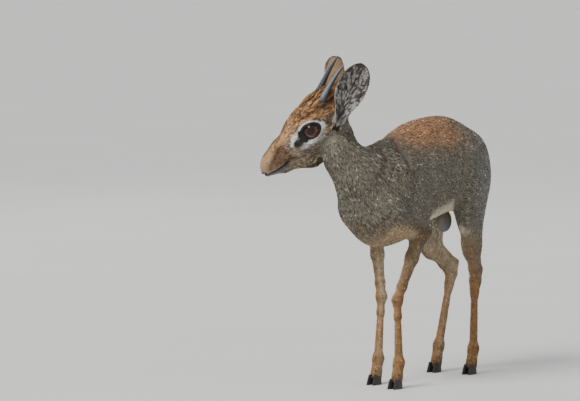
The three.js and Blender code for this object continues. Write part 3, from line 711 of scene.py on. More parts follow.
def sample(mesh, count, weigh, rng):
    """Roots scattered over a mesh, thicker where weigh(points, normals) is larger."""
    mesh.calc_loop_triangles()
    tri = np.empty(len(mesh.loop_triangles) * 3, np.int32)
    mesh.loop_triangles.foreach_get("vertices", tri)
    tri = tri.reshape(-1, 3)
    points, normals = read_points(mesh), read_normals(mesh)
    corners = points[tri]
    area = np.linalg.norm(np.cross(corners[:, 1] - corners[:, 0], corners[:, 2] - corners[:, 0]), axis=1)
    share = area * weigh(corners.mean(1), normals[tri].mean(1))
    pick = np.searchsorted(np.cumsum(share), (np.arange(count) + rng.random(count)) / count * share.sum())
    pick = np.minimum(pick, len(tri) - 1)
    a, b = rng.random(count), rng.random(count)
    over = a + b > 1
    a[over], b[over] = 1 - a[over], 1 - b[over]
    w = np.stack([1 - a - b, a, b], 1)[:, :, None]
    root = (points[tri[pick]] * w).sum(1)
    normal = (normals[tri[pick]] * w).sum(1)
    return root, normal / np.maximum(np.linalg.norm(normal, axis=1, keepdims=True), 1e-9)


def unwrap(p):
    """Where each point lies on a flat unwrap: round the trunk, round the head, and round each leg."""
    head = head_share(p) > 0.5
    low = (p[:, 2] < 215) & ~head
    q = to_head(p)
    turn = np.arctan2(p[:, 1], p[:, 2] - 318) / (2 * np.pi) + 0.5
    flat = np.column_stack([(p[:, 0] + 240) / 420 * 0.6, turn * 0.5])
    around = np.arctan2(q[:, 1], q[:, 2] - 28) / (2 * np.pi) + 0.5
    flat[head] = np.column_stack([0.62 + 0.36 * (q[:, 0] + 40) / 185, around * 0.5])[head]
    leg = (p[:, 1] > 0) * 2 + (p[:, 0] > 10)
    middle = np.array([-105.0, 90.0])[(p[:, 0] > 10).astype(int)]
    ring = np.arctan2(np.abs(p[:, 1]) - 30, p[:, 0] - middle) / (2 * np.pi) + 0.5
    flat[low] = np.column_stack([0.02 + 0.24 * leg + 0.22 * ring, 0.52 + 0.46 * p[:, 2] / 215])[low]
    return np.clip(flat, 0.002, 0.996)


def grow(name, root, normal, lie, length, width, lift, colour, shade, flat, sink=0.5, thick=0.45):
    """A coat piece of many tufts, each a tapered three-sided blade that bends along the lie."""
    n = len(root)
    side = np.cross(normal, lie)
    lift = np.asarray(lift)[:, None]
    first = lie * np.cos(lift) + normal * np.sin(lift)
    second = lie * np.cos(lift * 0.35) + normal * np.sin(lift * 0.35)
    length, width = np.asarray(length)[:, None], np.asarray(width)[:, None]
    base = root - normal * sink
    middle = base + first * length * 0.5
    tip = middle + second * length * 0.5
    rise = normal * width * thick
    rows = []
    for centre, size in ((base, 0.8), (middle, 1.0)):
        rows += [centre - side * width * 0.5 * size, centre + side * width * 0.5 * size, centre + rise * size]
    rows.append(tip)
    points = np.stack(rows, 1).reshape(-1, 3)
    start = (np.arange(n) * 7)[:, None]
    quads = np.concatenate([start + np.array(q) for q in ([0, 1, 4, 3], [1, 2, 5, 4], [2, 0, 3, 5])])
    tris = np.concatenate([start + np.array(t) for t in ([3, 4, 6], [4, 5, 6], [5, 3, 6], [0, 2, 1])])
    obj = mesh_object(name, points, [quads, tris])
    mesh = obj.data
    store_colour(mesh, "marking", np.repeat(colour, 7, axis=0))
    store_value(mesh, "shade", np.repeat(shade, 7))
    store_value(mesh, "strand", np.tile([0, 0, 0, 0.5, 0.5, 0.55, 1.0], n))
    patch = np.array([(0, 0), (1, 0), (0.5, 0.1), (0, 0.5), (1, 0.5), (0.5, 0.6), (0.5, 1)])
    store_map(mesh, "OFBake", (flat[:, None, :] + patch * BAKE_PATCH).reshape(-1, 2))
    return obj


class Nodes:
    """A short way to add nodes to a material or a group and join them."""

    def __init__(self, tree):
        self.tree = tree

    def add(self, kind, **values):
        node = self.tree.nodes.new(kind)
        for key, value in values.items():
            if hasattr(node, key):
                setattr(node, key, value)
        return node

    def link(self, output, socket):
        self.tree.links.new(output, socket)

    def feed(self, node, **sockets):
        for key, value in sockets.items():
            numbered = key[0] == "i" and key[1:].isdigit()
            socket = node.inputs[int(key[1:]) if numbered else key.replace("_", " ")]
            if isinstance(value, bpy.types.NodeSocket):
                self.link(value, socket)
            else:
                socket.default_value = value
        return node

    def math(self, operation, a, b=0.0, clamp=False):
        node = self.add("ShaderNodeMath", operation=operation, use_clamp=clamp)
        return self.feed(node, i0=a, i1=b).outputs[0]

    def plus(self, a, b):
        return self.math("ADD", a, b)

    def minus(self, a, b):
        return self.math("SUBTRACT", a, b)

    def times(self, a, b, clamp=False):
        return self.math("MULTIPLY", a, b, clamp)

    def over(self, a, b):
        return self.math("DIVIDE", a, b)

    def length(self, a, b):
        return self.math("SQRT", self.plus(self.times(a, a), self.times(b, b)))

    def mix(self, factor, a, b, blend_type="MIX"):
        node = self.add("ShaderNodeMix", data_type="RGBA", blend_type=blend_type)
        return self.feed(node, i0=factor, i6=a, i7=b).outputs[2]

    def noise(self, vector, scale, detail=3.0, roughness=0.5):
        node = self.add("ShaderNodeTexNoise")
        return self.feed(node, Vector=vector, Scale=scale, Detail=detail, Roughness=roughness).outputs["Fac"]

    def ramp(self, value, stops):
        node = self.add("ShaderNodeValToRGB")
        elements = node.color_ramp.elements
        while len(elements) < len(stops):
            elements.new(0.5)
        for element, (place, grey) in zip(elements, stops):
            element.position = place
            element.color = (*([grey] * 3 if isinstance(grey, (int, float)) else grey), 1)
        self.link(value, node.inputs[0])
        return node.outputs[0]

    def attribute(self, name, output="Fac"):
        return self.add("ShaderNodeAttribute", attribute_name=name).outputs[output]


def new_group(name, inputs, outputs):
    group = bpy.data.node_groups.new(name, "ShaderNodeTree")
    for label, kind, default in inputs:
        socket = group.interface.new_socket(name=label, in_out="INPUT", socket_type=kind)
        socket.default_value = default
    for label, kind in outputs:
        group.interface.new_socket(name=label, in_out="OUTPUT", socket_type=kind)
    nodes = Nodes(group)
    return group, nodes, nodes.add("NodeGroupInput").outputs, nodes.add("NodeGroupOutput").inputs


def grizzle_group():
    """Banded hair: the coat's colour broken by dark and light hairs, patches and a ticked grain."""
    inputs = [
        ("Colour", "NodeSocketColor", (0.3, 0.25, 0.2, 1)),
        ("Contrast", "NodeSocketFloat", 0.5),
        ("Grain", "NodeSocketFloat", 700.0),
        ("Patches", "NodeSocketFloat", 0.2),
    ]
    outputs = [("Colour", "NodeSocketColor"), ("Height", "NodeSocketFloat"), ("Roughness", "NodeSocketFloat")]
    group, n, given, out = new_group("grizzled_hair", inputs, outputs)
    place = n.add("ShaderNodeTexCoord").outputs["Object"]
    fine = n.noise(place, given["Grain"], 2.0, 0.6)
    ticked = n.ramp(fine, [(0.34, 0.0), (0.5, 0.5), (0.66, 1.0)])
    broad = n.noise(place, 38.0, 3.0, 0.55)
    ticks = n.times(n.minus(ticked, 0.5), given["Contrast"])
    patches = n.times(n.minus(broad, 0.5), given["Patches"])
    factor = n.plus(n.plus(ticks, patches), 1.0)
    combined = n.add("ShaderNodeCombineXYZ")
    n.feed(combined, X=factor, Y=factor, Z=factor)
    n.link(n.mix(1.0, given["Colour"], combined.outputs[0], "MULTIPLY"), out["Colour"])
    n.link(fine, out["Height"])
    n.link(n.plus(n.times(fine, 0.25), 0.55), out["Roughness"])
    return group


def new_material(name):
    material = bpy.data.materials.new(name)
    material.use_nodes = True
    nodes = Nodes(material.node_tree)
    shader = material.node_tree.nodes["Principled BSDF"]
    return material, nodes, shader


def add_group(nodes, group, **values):
    node = nodes.add("ShaderNodeGroup")
    node.node_tree = group
    return nodes.feed(node, **values)


def coat_material(name, group, contrast, grain, strength, sheen=0.2):
    """Hair over its marking: each tuft has a shade of its own and is darker at its root."""
    material, n, shader = new_material(name)
    strand = n.ramp(n.attribute("strand"), [(0.0, 0.5), (0.45, 0.9), (0.7, 1.22), (1.0, 0.92)])
    shaded = n.mix(1.0, n.attribute("marking", "Color"), strand, "MULTIPLY")
    tint = n.add("ShaderNodeCombineXYZ")
    shade = n.attribute("shade")
    n.feed(tint, X=shade, Y=shade, Z=shade)
    toned = n.mix(1.0, shaded, tint.outputs[0], "MULTIPLY")
    hair = add_group(n, group, Colour=toned, Contrast=contrast, Grain=grain, Patches=0.25)
    n.link(hair.outputs["Colour"], shader.inputs["Base Color"])
    n.link(hair.outputs["Roughness"], shader.inputs["Roughness"])
    bump = n.feed(n.add("ShaderNodeBump"), Strength=strength, Distance=0.0004, Height=hair.outputs["Height"])
    n.link(bump.outputs[0], shader.inputs["Normal"])
    shader.inputs["Specular IOR Level"].default_value = 0.28
    shader.inputs["Sheen Weight"].default_value = sheen
    shader.inputs["Sheen Roughness"].default_value = 0.4
    return material


def skin_material(name, group):
    """Skin under the coat: short hair as grain and bump, and smooth dark skin at lids, lips and nostrils."""
    material, n, shader = new_material(name)
    bare = n.attribute("bare")
    marked = n.attribute("marking", "Color")
    hair = add_group(n, group, Colour=marked, Contrast=0.75, Grain=900.0, Patches=0.3)
    colour = n.mix(bare, hair.outputs["Colour"], marked)
    n.link(colour, shader.inputs["Base Color"])
    smooth_skin = n.minus(1.0, n.times(bare, 0.6))
    n.link(n.times(hair.outputs["Roughness"], smooth_skin), shader.inputs["Roughness"])
    haired = n.minus(1.0, n.times(bare, 0.7))
    height = n.times(hair.outputs["Height"], haired)
    bump = n.feed(n.add("ShaderNodeBump"), Strength=0.9, Distance=0.0005, Height=height)
    n.link(bump.outputs[0], shader.inputs["Normal"])
    shader.inputs["Specular IOR Level"].default_value = 0.35
    return material


def eye_material(name):
    """A wet red-brown iris with fibres, a level oval pupil and a black rim; the iris's upper part is darkened
    as painted shade under the lid and lashes.
    """
    material, n, shader = new_material(name)
    split = n.add("ShaderNodeSeparateXYZ")
    n.link(n.add("ShaderNodeUVMap", uv_map="iris").outputs[0], split.inputs[0])
    a, b = (n.times(n.minus(split.outputs[i], 0.5), IRIS_SPAN) for i in (0, 1))
    radius = n.length(a, b)
    turn = n.math("ARCTAN2", b, a)
    polar = n.add("ShaderNodeCombineXYZ")
    n.feed(polar, X=n.times(turn, 9.0), Y=n.times(radius, 0.35), Z=0.0)
    fibres = n.noise(polar.outputs[0], 2.6, 4.0, 0.6)
    browns = [(0.3, (0.030, 0.007, 0.002)), (0.55, (0.12, 0.028, 0.007)), (0.75, (0.27, 0.085, 0.018))]
    iris = n.ramp(fibres, browns)
    rim = [(0.3, 0.5), (0.62, 1.3), (0.86, 0.55), (0.95, 0.05)]
    inner = n.ramp(n.over(radius, IRIS_RADIUS), rim)
    shaded = n.mix(1.0, iris, inner, "MULTIPLY")
    # Painted shade: the iris darker towards its top, where the lid and lashes would shade it.
    painted_lid_shade = n.ramp(n.plus(n.over(b, 20.0), 0.5), [(0.42, 1.0), (0.72, 0.3)])
    shaded = n.mix(1.0, shaded, painted_lid_shade, "MULTIPLY")
    wide = n.over(a, PUPIL_HALF[0])
    tall = n.over(n.minus(b, PUPIL_RISE), PUPIL_HALF[1])
    oval = n.length(wide, tall)
    pupil = n.ramp(oval, [(0.88, 1.0), (1.0, 0.0)])
    n.link(n.mix(pupil, shaded, (0.002, 0.002, 0.003, 1)), shader.inputs["Base Color"])
    n.link(n.plus(n.times(fibres, 0.04), 0.02), shader.inputs["Roughness"])
    shader.inputs["Coat Weight"].default_value = 0.8
    shader.inputs["Coat Roughness"].default_value = 0.02
    shader.inputs["Coat IOR"].default_value = 1.42
    shader.inputs["Specular IOR Level"].default_value = 0.1
    return material


def horn_material(name, dark, pale, ring_scale, roughness):
    """Horn or hoof: dark, with long streaks, worn paler patches and a dull sheen; on the horns a pale band
    down the front is a painted highlight.
    """
    material, n, shader = new_material(name)
    along, around = n.attribute("along"), n.attribute("around")
    streak = n.add("ShaderNodeCombineXYZ")
    n.feed(streak, X=n.times(around, 10.0), Y=n.times(along, 1.2), Z=0.0)
    grain = n.noise(streak.outputs[0], 3.0, 6.0, 0.6)
    place = n.add("ShaderNodeTexCoord").outputs["Object"]
    worn = n.noise(place, 260.0, 4.0, 0.6)
    rings = n.math("SINE", n.times(along, ring_scale))
    both = n.plus(n.times(grain, 0.7), n.times(worn, 0.3))
    mixed = n.ramp(both, [(0.4, 0.0), (0.75, 1.0)])
    shine = n.plus(n.times(grain, 0.6), 0.5)
    # Painted highlight: the horns' front side is painted pale where their sheen would lie; the hooves carry
    # no such band.
    painted_highlight = n.times(n.attribute("front"), shine, True)
    streaked = n.mix(mixed, (*dark, 1), (*pale, 1))
    n.link(n.mix(painted_highlight, streaked, (*(3.2 * c for c in pale), 1)), shader.inputs["Base Color"])
    n.link(n.plus(n.times(worn, 0.25), roughness), shader.inputs["Roughness"])
    rough = n.plus(grain, n.times(worn, 0.5))
    height = n.plus(rough, n.times(rings, 0.15))
    bump = n.feed(n.add("ShaderNodeBump"), Strength=0.6, Distance=0.0006, Height=height)
    n.link(bump.outputs[0], shader.inputs["Normal"])
    shader.inputs["Specular IOR Level"].default_value = 0.55
    return material


def ground_material(name):
    material, n, shader = new_material(name)
    place = n.add("ShaderNodeTexCoord").outputs["Object"]
    cloud = n.noise(place, 3.0, 3.0, 0.5)
    grain = n.noise(place, 160.0, 4.0, 0.6)
    n.link(n.mix(cloud, (0.66, 0.65, 0.62, 1), (0.72, 0.71, 0.68, 1)), shader.inputs["Base Color"])
    n.link(n.plus(n.times(grain, 0.15), 0.8), shader.inputs["Roughness"])
    return material


def closed(rings, start, end):
    """Points and faces of rings of points (count, sides, 3) closed by a point at each end."""
    count, sides = rings.shape[:2]
    points = np.concatenate([rings.reshape(-1, 3), [start, end]])
    quads = grid_faces(count, sides)
    i = np.arange(sides)
    k = (i + 1) % sides
    first, last = count * sides, (count - 1) * sides
    near_cap = np.stack([k, i, np.full(sides, first)], 1)
    far_cap = np.stack([last + i, last + k, np.full(sides, first + 1)], 1)
    tris = np.concatenate([near_cap, far_cap])
    a, b, c = points[tris[:, 0]], points[tris[:, 1]], points[tris[:, 2]]
    volume = (np.cross(a, b) * c).sum()
    a, b, c, d = (points[quads[:, j]] for j in range(4))
    volume += (np.cross(a, b) * c).sum() + (np.cross(a, c) * d).sum()
    if volume < 0:
        quads, tris = quads[:, ::-1], tris[:, ::-1]
    return points, [quads, tris]


def flip_side(q, side):
    return q * vec(1, side, 1)


def refine(bm, choose):
    """Halves the faces whose middle choose() picks."""
    faces = [f for f in bm.faces]
    middle = np.array([f.calc_center_median() for f in faces]) / MM - SHIFT
    edges = {e for f, pick in zip(faces, choose(middle)) if pick for e in f.edges}
    bmesh.ops.subdivide_edges(bm, edges=list(edges), cuts=1, use_grid_fill=True)


def make_skin():
    points, quads = surface_net(skin_form, *SKIN_BOX, SKIN_PITCH)
    points, _ = settle(skin_form, points, 2)
    skin = mesh_object("skin", points, quads)
    mesh = skin.data
    bm = bmesh.new()
    bm.from_mesh(mesh)
    for reach in ((14.0, -30), (9.0, 18))[: 2]:
        refine(bm, lambda p: (head_form(p) < reach[0]) & (to_head(p)[:, 0] > reach[1]) & (p[:, 2] > 300))
    bm.to_mesh(mesh)
    bm.free()
    points, normal = settle(skin_form, read_points(mesh), 2)
    points = sculpt_body(points, normal)
    head = head_share(points) > 0.01
    points[head] = sculpt_face(points[head], normal[head])
    write_points(mesh, points)
    normal = read_normals(mesh)
    store_colour(mesh, "marking", marking(points, normal))
    store_value(mesh, "bare", bare_share(points))
    return skin


def sculpt_body(p, normal):
    """Adds the shoulder blade's rear edge, the elbow's fold, the flank's fold and the thigh's front edge."""
    m = np.column_stack([p[:, 0], np.abs(p[:, 1]), p[:, 2]])
    side = ramp(m[:, 1], 8, 24)
    rise = -4.8 * bell(from_line(m, (-88, 396), (-114, 350)), 6.5) * ramp(m[:, 1], 1, 9)
    rise += 2.4 * bell(from_line(m, (-112, 388), (-134, 348)), 10) * ramp(m[:, 1], 1, 12)
    rise -= 2.4 * bell(from_line(m, (-62, 306), (-50, 246)), 7) * side
    rise += 2.4 * bell(from_line(m, (66, 356), (44, 268)), 9) * side
    rise -= 2.8 * bell(from_line(m, (46, 358), (24, 272)), 9) * side
    return p + normal * (rise * (1 - head_share(p)))[:, None]


def bare_share(p):
    """1 where there is no hair: lids, lips, nostrils and face glands."""
    q = to_head(p)
    m = mirrored(q)
    e, _ = eye_measure(m)
    bare = np.maximum(1 - ramp(e, 1.18, 1.26), 1 - ramp(nostril_measure(m), 1.1, 1.5))
    bare = np.maximum(bare, (1 - ramp(gland_measure(m), 4.6, 6.2)) * (m[:, 1] > 8))
    lips = bell(m[:, 2] - mouth_height(m[:, 0]), 1.5) * ramp(m[:, 0], MOUTH_BACK - 2, MOUTH_BACK + 4)
    return np.maximum(bare, lips) * (head_share(p) > 0.3)


def horn_line(t):
    t = np.asarray(t, float)[:, None]
    root, middle, tip = HORN_LINE
    return root * (1 - t) * (1 - 2 * t) + middle * 4 * t * (1 - t) + tip * t * (2 * t - 1)


def horn_radius(t):
    return HORN_BASE * (1 - t) ** 0.72 * (1 - 0.28 * np.sin(np.pi * t))


def root_weight(p, normal):
    """How thickly roots stand: most on the face and legs, none in bare places, under horns and under ears."""
    head = head_share(p)
    m = mirrored(to_head(p))
    horn = np.linalg.norm(m - vec(16, 12.7, 64), axis=1)
    ear = np.linalg.norm(m - EAR_ROOT - vec(-6, 2, 4), axis=1)
    open_place = (bare_share(p) < 0.5) * (horn > HORN_BASE + 1) * (ear > 11)
    low = 1 - ramp(p[:, 2], 205, 260)
    return open_place * (p[:, 2] > 12) * (1 + 5 * head * ramp(m[:, 0], -20, 30) + 1.6 * low)


def hair_length(p, normal):
    head = head_share(p)
    q = to_head(p)
    m = mirrored(q)
    low = 1 - ramp(p[:, 2], 190, 262)
    body = 5.3 + 1.0 * ramp(-p[:, 0], 96, 150) - 2.5 * ramp(-normal[:, 2], 0.3, 0.8)
    body = body * (1 - low) + (4.4 + 1.2 * ramp(-p[:, 2], -60, -20)) * low
    face = np.interp(q[:, 0], [-20, 20, 60, 100, 130], [6.5, 5.2, 4.2, 3.2, 2.2])
    face = face + 2.5 * ramp(-m[:, 2], -4, 14) * (1 - ramp(m[:, 0], 60, 100))
    e, _ = eye_measure(m)
    face = face * (0.42 + 0.58 * ramp(e, 1.2, 2.1)) * (0.5 + 0.5 * ramp(gland_measure(m), 5, 12))
    return body * (1 - head) + face * head


def make_coat(skin, seed, tufts):
    rng = np.random.default_rng(seed)
    count = int(tufts * (1))
    root, normal = sample(skin.data, count, root_weight, rng)
    root, normal = root[bare_share(root) < 0.5], normal[bare_share(root) < 0.5]
    order = np.argsort(root[:, 0])
    root, normal = root[order], normal[order]
    head = head_share(root)
    low = 1 - ramp(root[:, 2], 205, 262)
    lie = lie_of(root, normal, rng)
    length = hair_length(root, normal) * rng.uniform(0.75, 1.25, len(root))
    width = (0.82 - 0.3 * head - 0.12 * low) * rng.uniform(0.7, 1.3, len(root))
    lift = np.radians(12 - 2 * head - 3 * low) * rng.uniform(0.5, 1.5, len(root))
    grizzled = 1 - 0.45 * ramp(low, 0.5, 1)
    grizzled *= 1 - 0.5 * ramp(to_head(root)[:, 0], 96, 120) * head
    fleck = speckle(root, 2.1, 5) - 0.5 + 0.45 * (speckle(root, 5.5, 6) - 0.5)
    shade = np.exp(grizzled * (2.8 * fleck + rng.normal(0, 0.34, len(root)) - 0.05))
    colour = marking(root, normal)
    pale, dark = rng.random(len(root)) < 0.24 * grizzled, rng.random(len(root)) < 0.28 * grizzled
    colour = lay(colour, colour * 1.95 + 0.015, pale * 0.75)
    colour = lay(colour, colour * 0.15, dark * 0.85)
    flat = unwrap(root)
    pieces = []
    count = math.ceil(len(root) / TUFTS_PER_PIECE)
    for number, part in enumerate(np.array_split(np.arange(len(root)), count)):
        values = (a[part] for a in (root, normal, lie, length, width, lift, colour, shade, flat))
        pieces.append(grow("coat_%d" % (number + 1), *values))
    return pieces


def horn_gap(p):
    """Distance from the horns' sides."""
    m = mirrored(to_head(p))
    t = np.linspace(0, 0.98, 50)
    return (np.linalg.norm(m[:, None] - horn_line(t)[None], axis=2) - horn_radius(t)).min(1)


def lay_strands(name, root, normal, tip, width, colour, shade, sink=1.0):
    """Longer hairs, each from its root on the skin to a given tip."""
    run = tip - root
    length = np.linalg.norm(run, axis=1)
    up = (run * normal).sum(1) / length
    lie = run - normal * (run * normal).sum(1, keepdims=True)
    lie /= np.maximum(np.linalg.norm(lie, axis=1, keepdims=True), 1e-6)
    lift = np.arcsin(np.clip(up, -0.95, 0.95))
    return grow(name, root, normal, lie, length, width, lift, colour, shade, unwrap(root), sink=sink)


def make_crest(seed):
    """Long locks on the forehead that rise between the horns and lie back."""
    rng = np.random.default_rng(seed)
    locks = 190
    strands = 26
    x = np.interp(rng.random(locks), [0, 0.45, 1], [66, 34, -10])
    reach = np.interp(x, [-10, 4, 20, 40, 66], [7, 8, 12, 16, 11])
    y = rng.uniform(-1, 1, locks) * reach
    start = from_head(np.column_stack([x, y, np.full(locks, 64.0)]))
    start, up = settle(skin_form, start, 4)
    q = to_head(start)
    size = np.interp(q[:, 0], [-10, 8, 30, 50, 66], [30, 30, 21, 13, 9]) * rng.uniform(0.8, 1.15, locks)
    rise = np.radians(np.interp(q[:, 0], [-10, 20, 66], [50, 34, 18]) * rng.uniform(0.7, 1.25, locks))
    sway = rng.normal(0, 0.16, locks) + q[:, 1] * 0.012
    back = -HEAD_FORWARD + sway[:, None] * HEAD_LEFT
    tip = start + (back * np.cos(rise)[:, None] + up * np.sin(rise)[:, None]) * size[:, None]
    lock = np.repeat(np.arange(locks), strands)
    near = start[lock] + (rng.normal(0, 2.0, (len(lock), 2)) @ np.stack([HEAD_FORWARD, HEAD_LEFT]))
    root, normal = settle(skin_form, near, 3)
    end = tip[lock] + rng.normal(0, 0.9, (len(lock), 3))
    end -= (tip - start)[lock] * rng.uniform(0, 0.35, (len(lock), 1))
    keep = horn_gap(root) > 0
    for share in (0.3, 0.5, 0.75, 1.0):
        keep &= horn_gap(root + (end - root) * share) > 0.5
    root, normal, end, lock = root[keep], normal[keep], end[keep], lock[keep]
    collar = 1800
    turn, high = rng.uniform(0, 2 * np.pi, collar), rng.uniform(0, 1, collar)
    axis = unit(HORN_LINE[1] - HORN_LINE[0])
    wide, out = vec(0, 1, 0), unit(np.cross(axis, vec(0, 1, 0)))
    radial = np.cos(turn)[:, None] * wide + np.sin(turn)[:, None] * out
    foot = HORN_LINE[0] + axis * (11 * high - 8)[:, None] + radial * (HORN_BASE + 1.4)
    over = foot + axis * rng.uniform(9, 16, (collar, 1)) + radial * 0.2
    side = np.where(np.arange(collar) % 2, 1, -1)[:, None] * vec(0, 1, 0) + vec(1, 0, 1)
    base, base_normal = settle(skin_form, from_head(foot * side), 4)
    root, normal = np.concatenate([root, base]), np.concatenate([normal, base_normal])
    end = np.concatenate([end, from_head(over * side)])
    lock = np.concatenate([lock, rng.integers(0, locks, collar)])
    dark = np.maximum((rng.random(locks) < 0.3)[lock] * 0.75, (rng.random(len(root)) < 0.2) * 0.7)
    colour = lay(np.tile(tone(168, 124, 82), (len(root), 1)), FACE_DARK, dark)
    shade = np.exp(rng.normal(0, 0.25, locks))[lock] * np.exp(rng.normal(0, 0.2, len(root)))
    return lay_strands("crest", root, normal, end, rng.uniform(0.7, 1.2, len(root)), colour, shade)


def make_lashes(seed):
    """Dark lashes on the upper lids, and thin whiskers on the lips and chin."""
    rng = np.random.default_rng(seed)
    look, (ahead, upward) = EYE_LOOK, eye_axes()
    lashes, whiskers = 90, 26
    turn = rng.uniform(0.1, 2.9, lashes)
    angle = eye_opening(turn) * 1.08
    way = np.cos(angle)[:, None] * look
    way = way + np.sin(angle)[:, None] * (np.cos(turn)[:, None] * ahead + np.sin(turn)[:, None] * upward)
    lid = EYE_CENTRE + way * (EYE_RADIUS + 1.7)
    lash = lid + look * 3.2 + upward * 1.2 + way * 2.2 + rng.normal(0, 0.5, (lashes, 3))
    x = rng.uniform(98, 128, whiskers)
    z = np.where(rng.random(whiskers) < 0.6, 15, 3) + rng.normal(0, 2, whiskers)
    lip, normal = settle(skin_form, from_head(np.column_stack([x, np.full(whiskers, 11.0), z])), 4)
    lip, normal = to_head(lip), normal @ HEAD_AXES.T
    whisker = lip + normal * rng.uniform(5, 9, (whiskers, 1))
    whisker += vec(-5, 0, -4) * rng.uniform(0.5, 1.2, (whiskers, 1))
    root, tip, way = (np.concatenate(pair) for pair in ((lid, lip), (lash, whisker), (way, normal)))
    both = np.concatenate([np.ones(len(root)), -np.ones(len(root))])[:, None] * vec(0, 1, 0) + vec(1, 0, 1)
    root, tip, way = (np.tile(a, (2, 1)) * both for a in (root, tip, way))
    root, tip, way = from_head(root), from_head(tip), way @ HEAD_AXES
    colour = np.tile(BLACK_SKIN, (len(root), 1))
    width = np.full(len(root), 0.3)
    return lay_strands("lashes", root, way, tip, width, colour, np.ones(len(root)), sink=0.6)


def ear_frame(side):
    tip = flip_side(EAR_TIPS["left" if side > 0 else "right"], side)
    along = tip - EAR_ROOT
    length = np.linalg.norm(along)
    along = along / length
    open_way = unit(EAR_OPENING - (EAR_OPENING @ along) * along)
    return along, length, open_way, np.cross(open_way, along)


def ear_point(side, share, v, inset):
    """A place on an ear: share from root to tip, v across it, inset from its back to its inside."""
    along, length, open_way, across = ear_frame(side)
    swell = ramp(share, 0.05, 0.6)
    to_tip = np.clip((share - 0.6) / 0.4, 0, 1)
    close = np.where(share > 0.6, np.sqrt(np.maximum(1.006 - to_tip**2.3, 0)), 1)
    half = (EAR_ROOT_WIDTH + (EAR_WIDTH - EAR_ROOT_WIDTH) * swell) * close
    bend = np.radians(118 + (50 - 118) * ramp(share, 0, 0.55))
    radius = half / bend
    thick = np.minimum(2.4 * (1 - 0.5 * share), radius * 0.6) * inset
    fold = 0.5 * np.sin(v * 9 + 4 * share) * ramp(share, 0.1, 0.4) * (1 - share)
    fold *= 1 - ramp(np.abs(v), 0.7, 1)
    r = radius - (thick + fold * (inset > 0.5)) * (1 - 0.72 * v * v)
    middle = EAR_ROOT + share[:, None] * length * along
    middle = middle - open_way * (EAR_BOW * np.sin(np.pi * np.clip(share, 0, 1)))[:, None]
    point = middle + across * (r * np.sin(v * bend))[:, None]
    point += open_way * (radius - r * np.cos(v * bend))[:, None]
    return from_head(flip_side(point, side))


def ear_marking(share, v, inset):
    """Tan back, pale streaked inside, dark rim and tip."""
    colour = np.tile(EAR_TAN, (len(share), 1))
    stripes = 0.5 + 0.5 * np.sin(v * 12 + 3 * np.sin(share * 7))
    inside = lay(np.tile(EAR_SKIN, (len(share), 1)), EAR_DARK, stripes)
    inside = lay(inside, EAR_DARK, (1 - ramp(share, 0.12, 0.3)) * 0.25)
    colour = lay(colour, inside, inset)
    rim = ramp(np.abs(v), 0.9, 0.98)
    colour = lay(colour, EAR_DARK, rim * 0.75 * ramp(share, 0.25, 0.5))
    return lay(colour, EAR_DARK, ramp(share, 0.9, 1.0) * 0.8)


def make_ear(side, name, material, coat, seed):
    rng = np.random.default_rng(seed)
    count, across = ((90, 49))
    share, v = np.meshgrid(np.linspace(-0.06, 0.998, count), np.linspace(-1, 1, across), indexing="ij")
    back = ear_point(side, share.ravel(), v.ravel(), 0.0).reshape(count, across, 3)
    inner = ear_point(side, share.ravel(), v.ravel(), 1.0).reshape(count, across, 3)
    rings = np.concatenate([back, inner[:, ::-1]], 1)
    points, faces = closed(rings, rings[0].mean(0), rings[-1].mean(0))
    ear = mesh_object(name, points, faces)
    places = [np.concatenate([share, share], 1).ravel(), np.concatenate([v, v[:, ::-1]], 1).ravel()]
    inset = np.concatenate([np.zeros_like(v), np.ones_like(v)], 1).ravel()
    colours = ear_marking(*places, inset)
    store_colour(ear.data, "marking", np.concatenate([colours, colours[[0, -1]]]))
    store_value(ear.data, "bare", np.zeros(len(points)))
    finish_piece(ear, material, "ear_coat", name)
    grow_ear_hair(side, name, coat, rng)


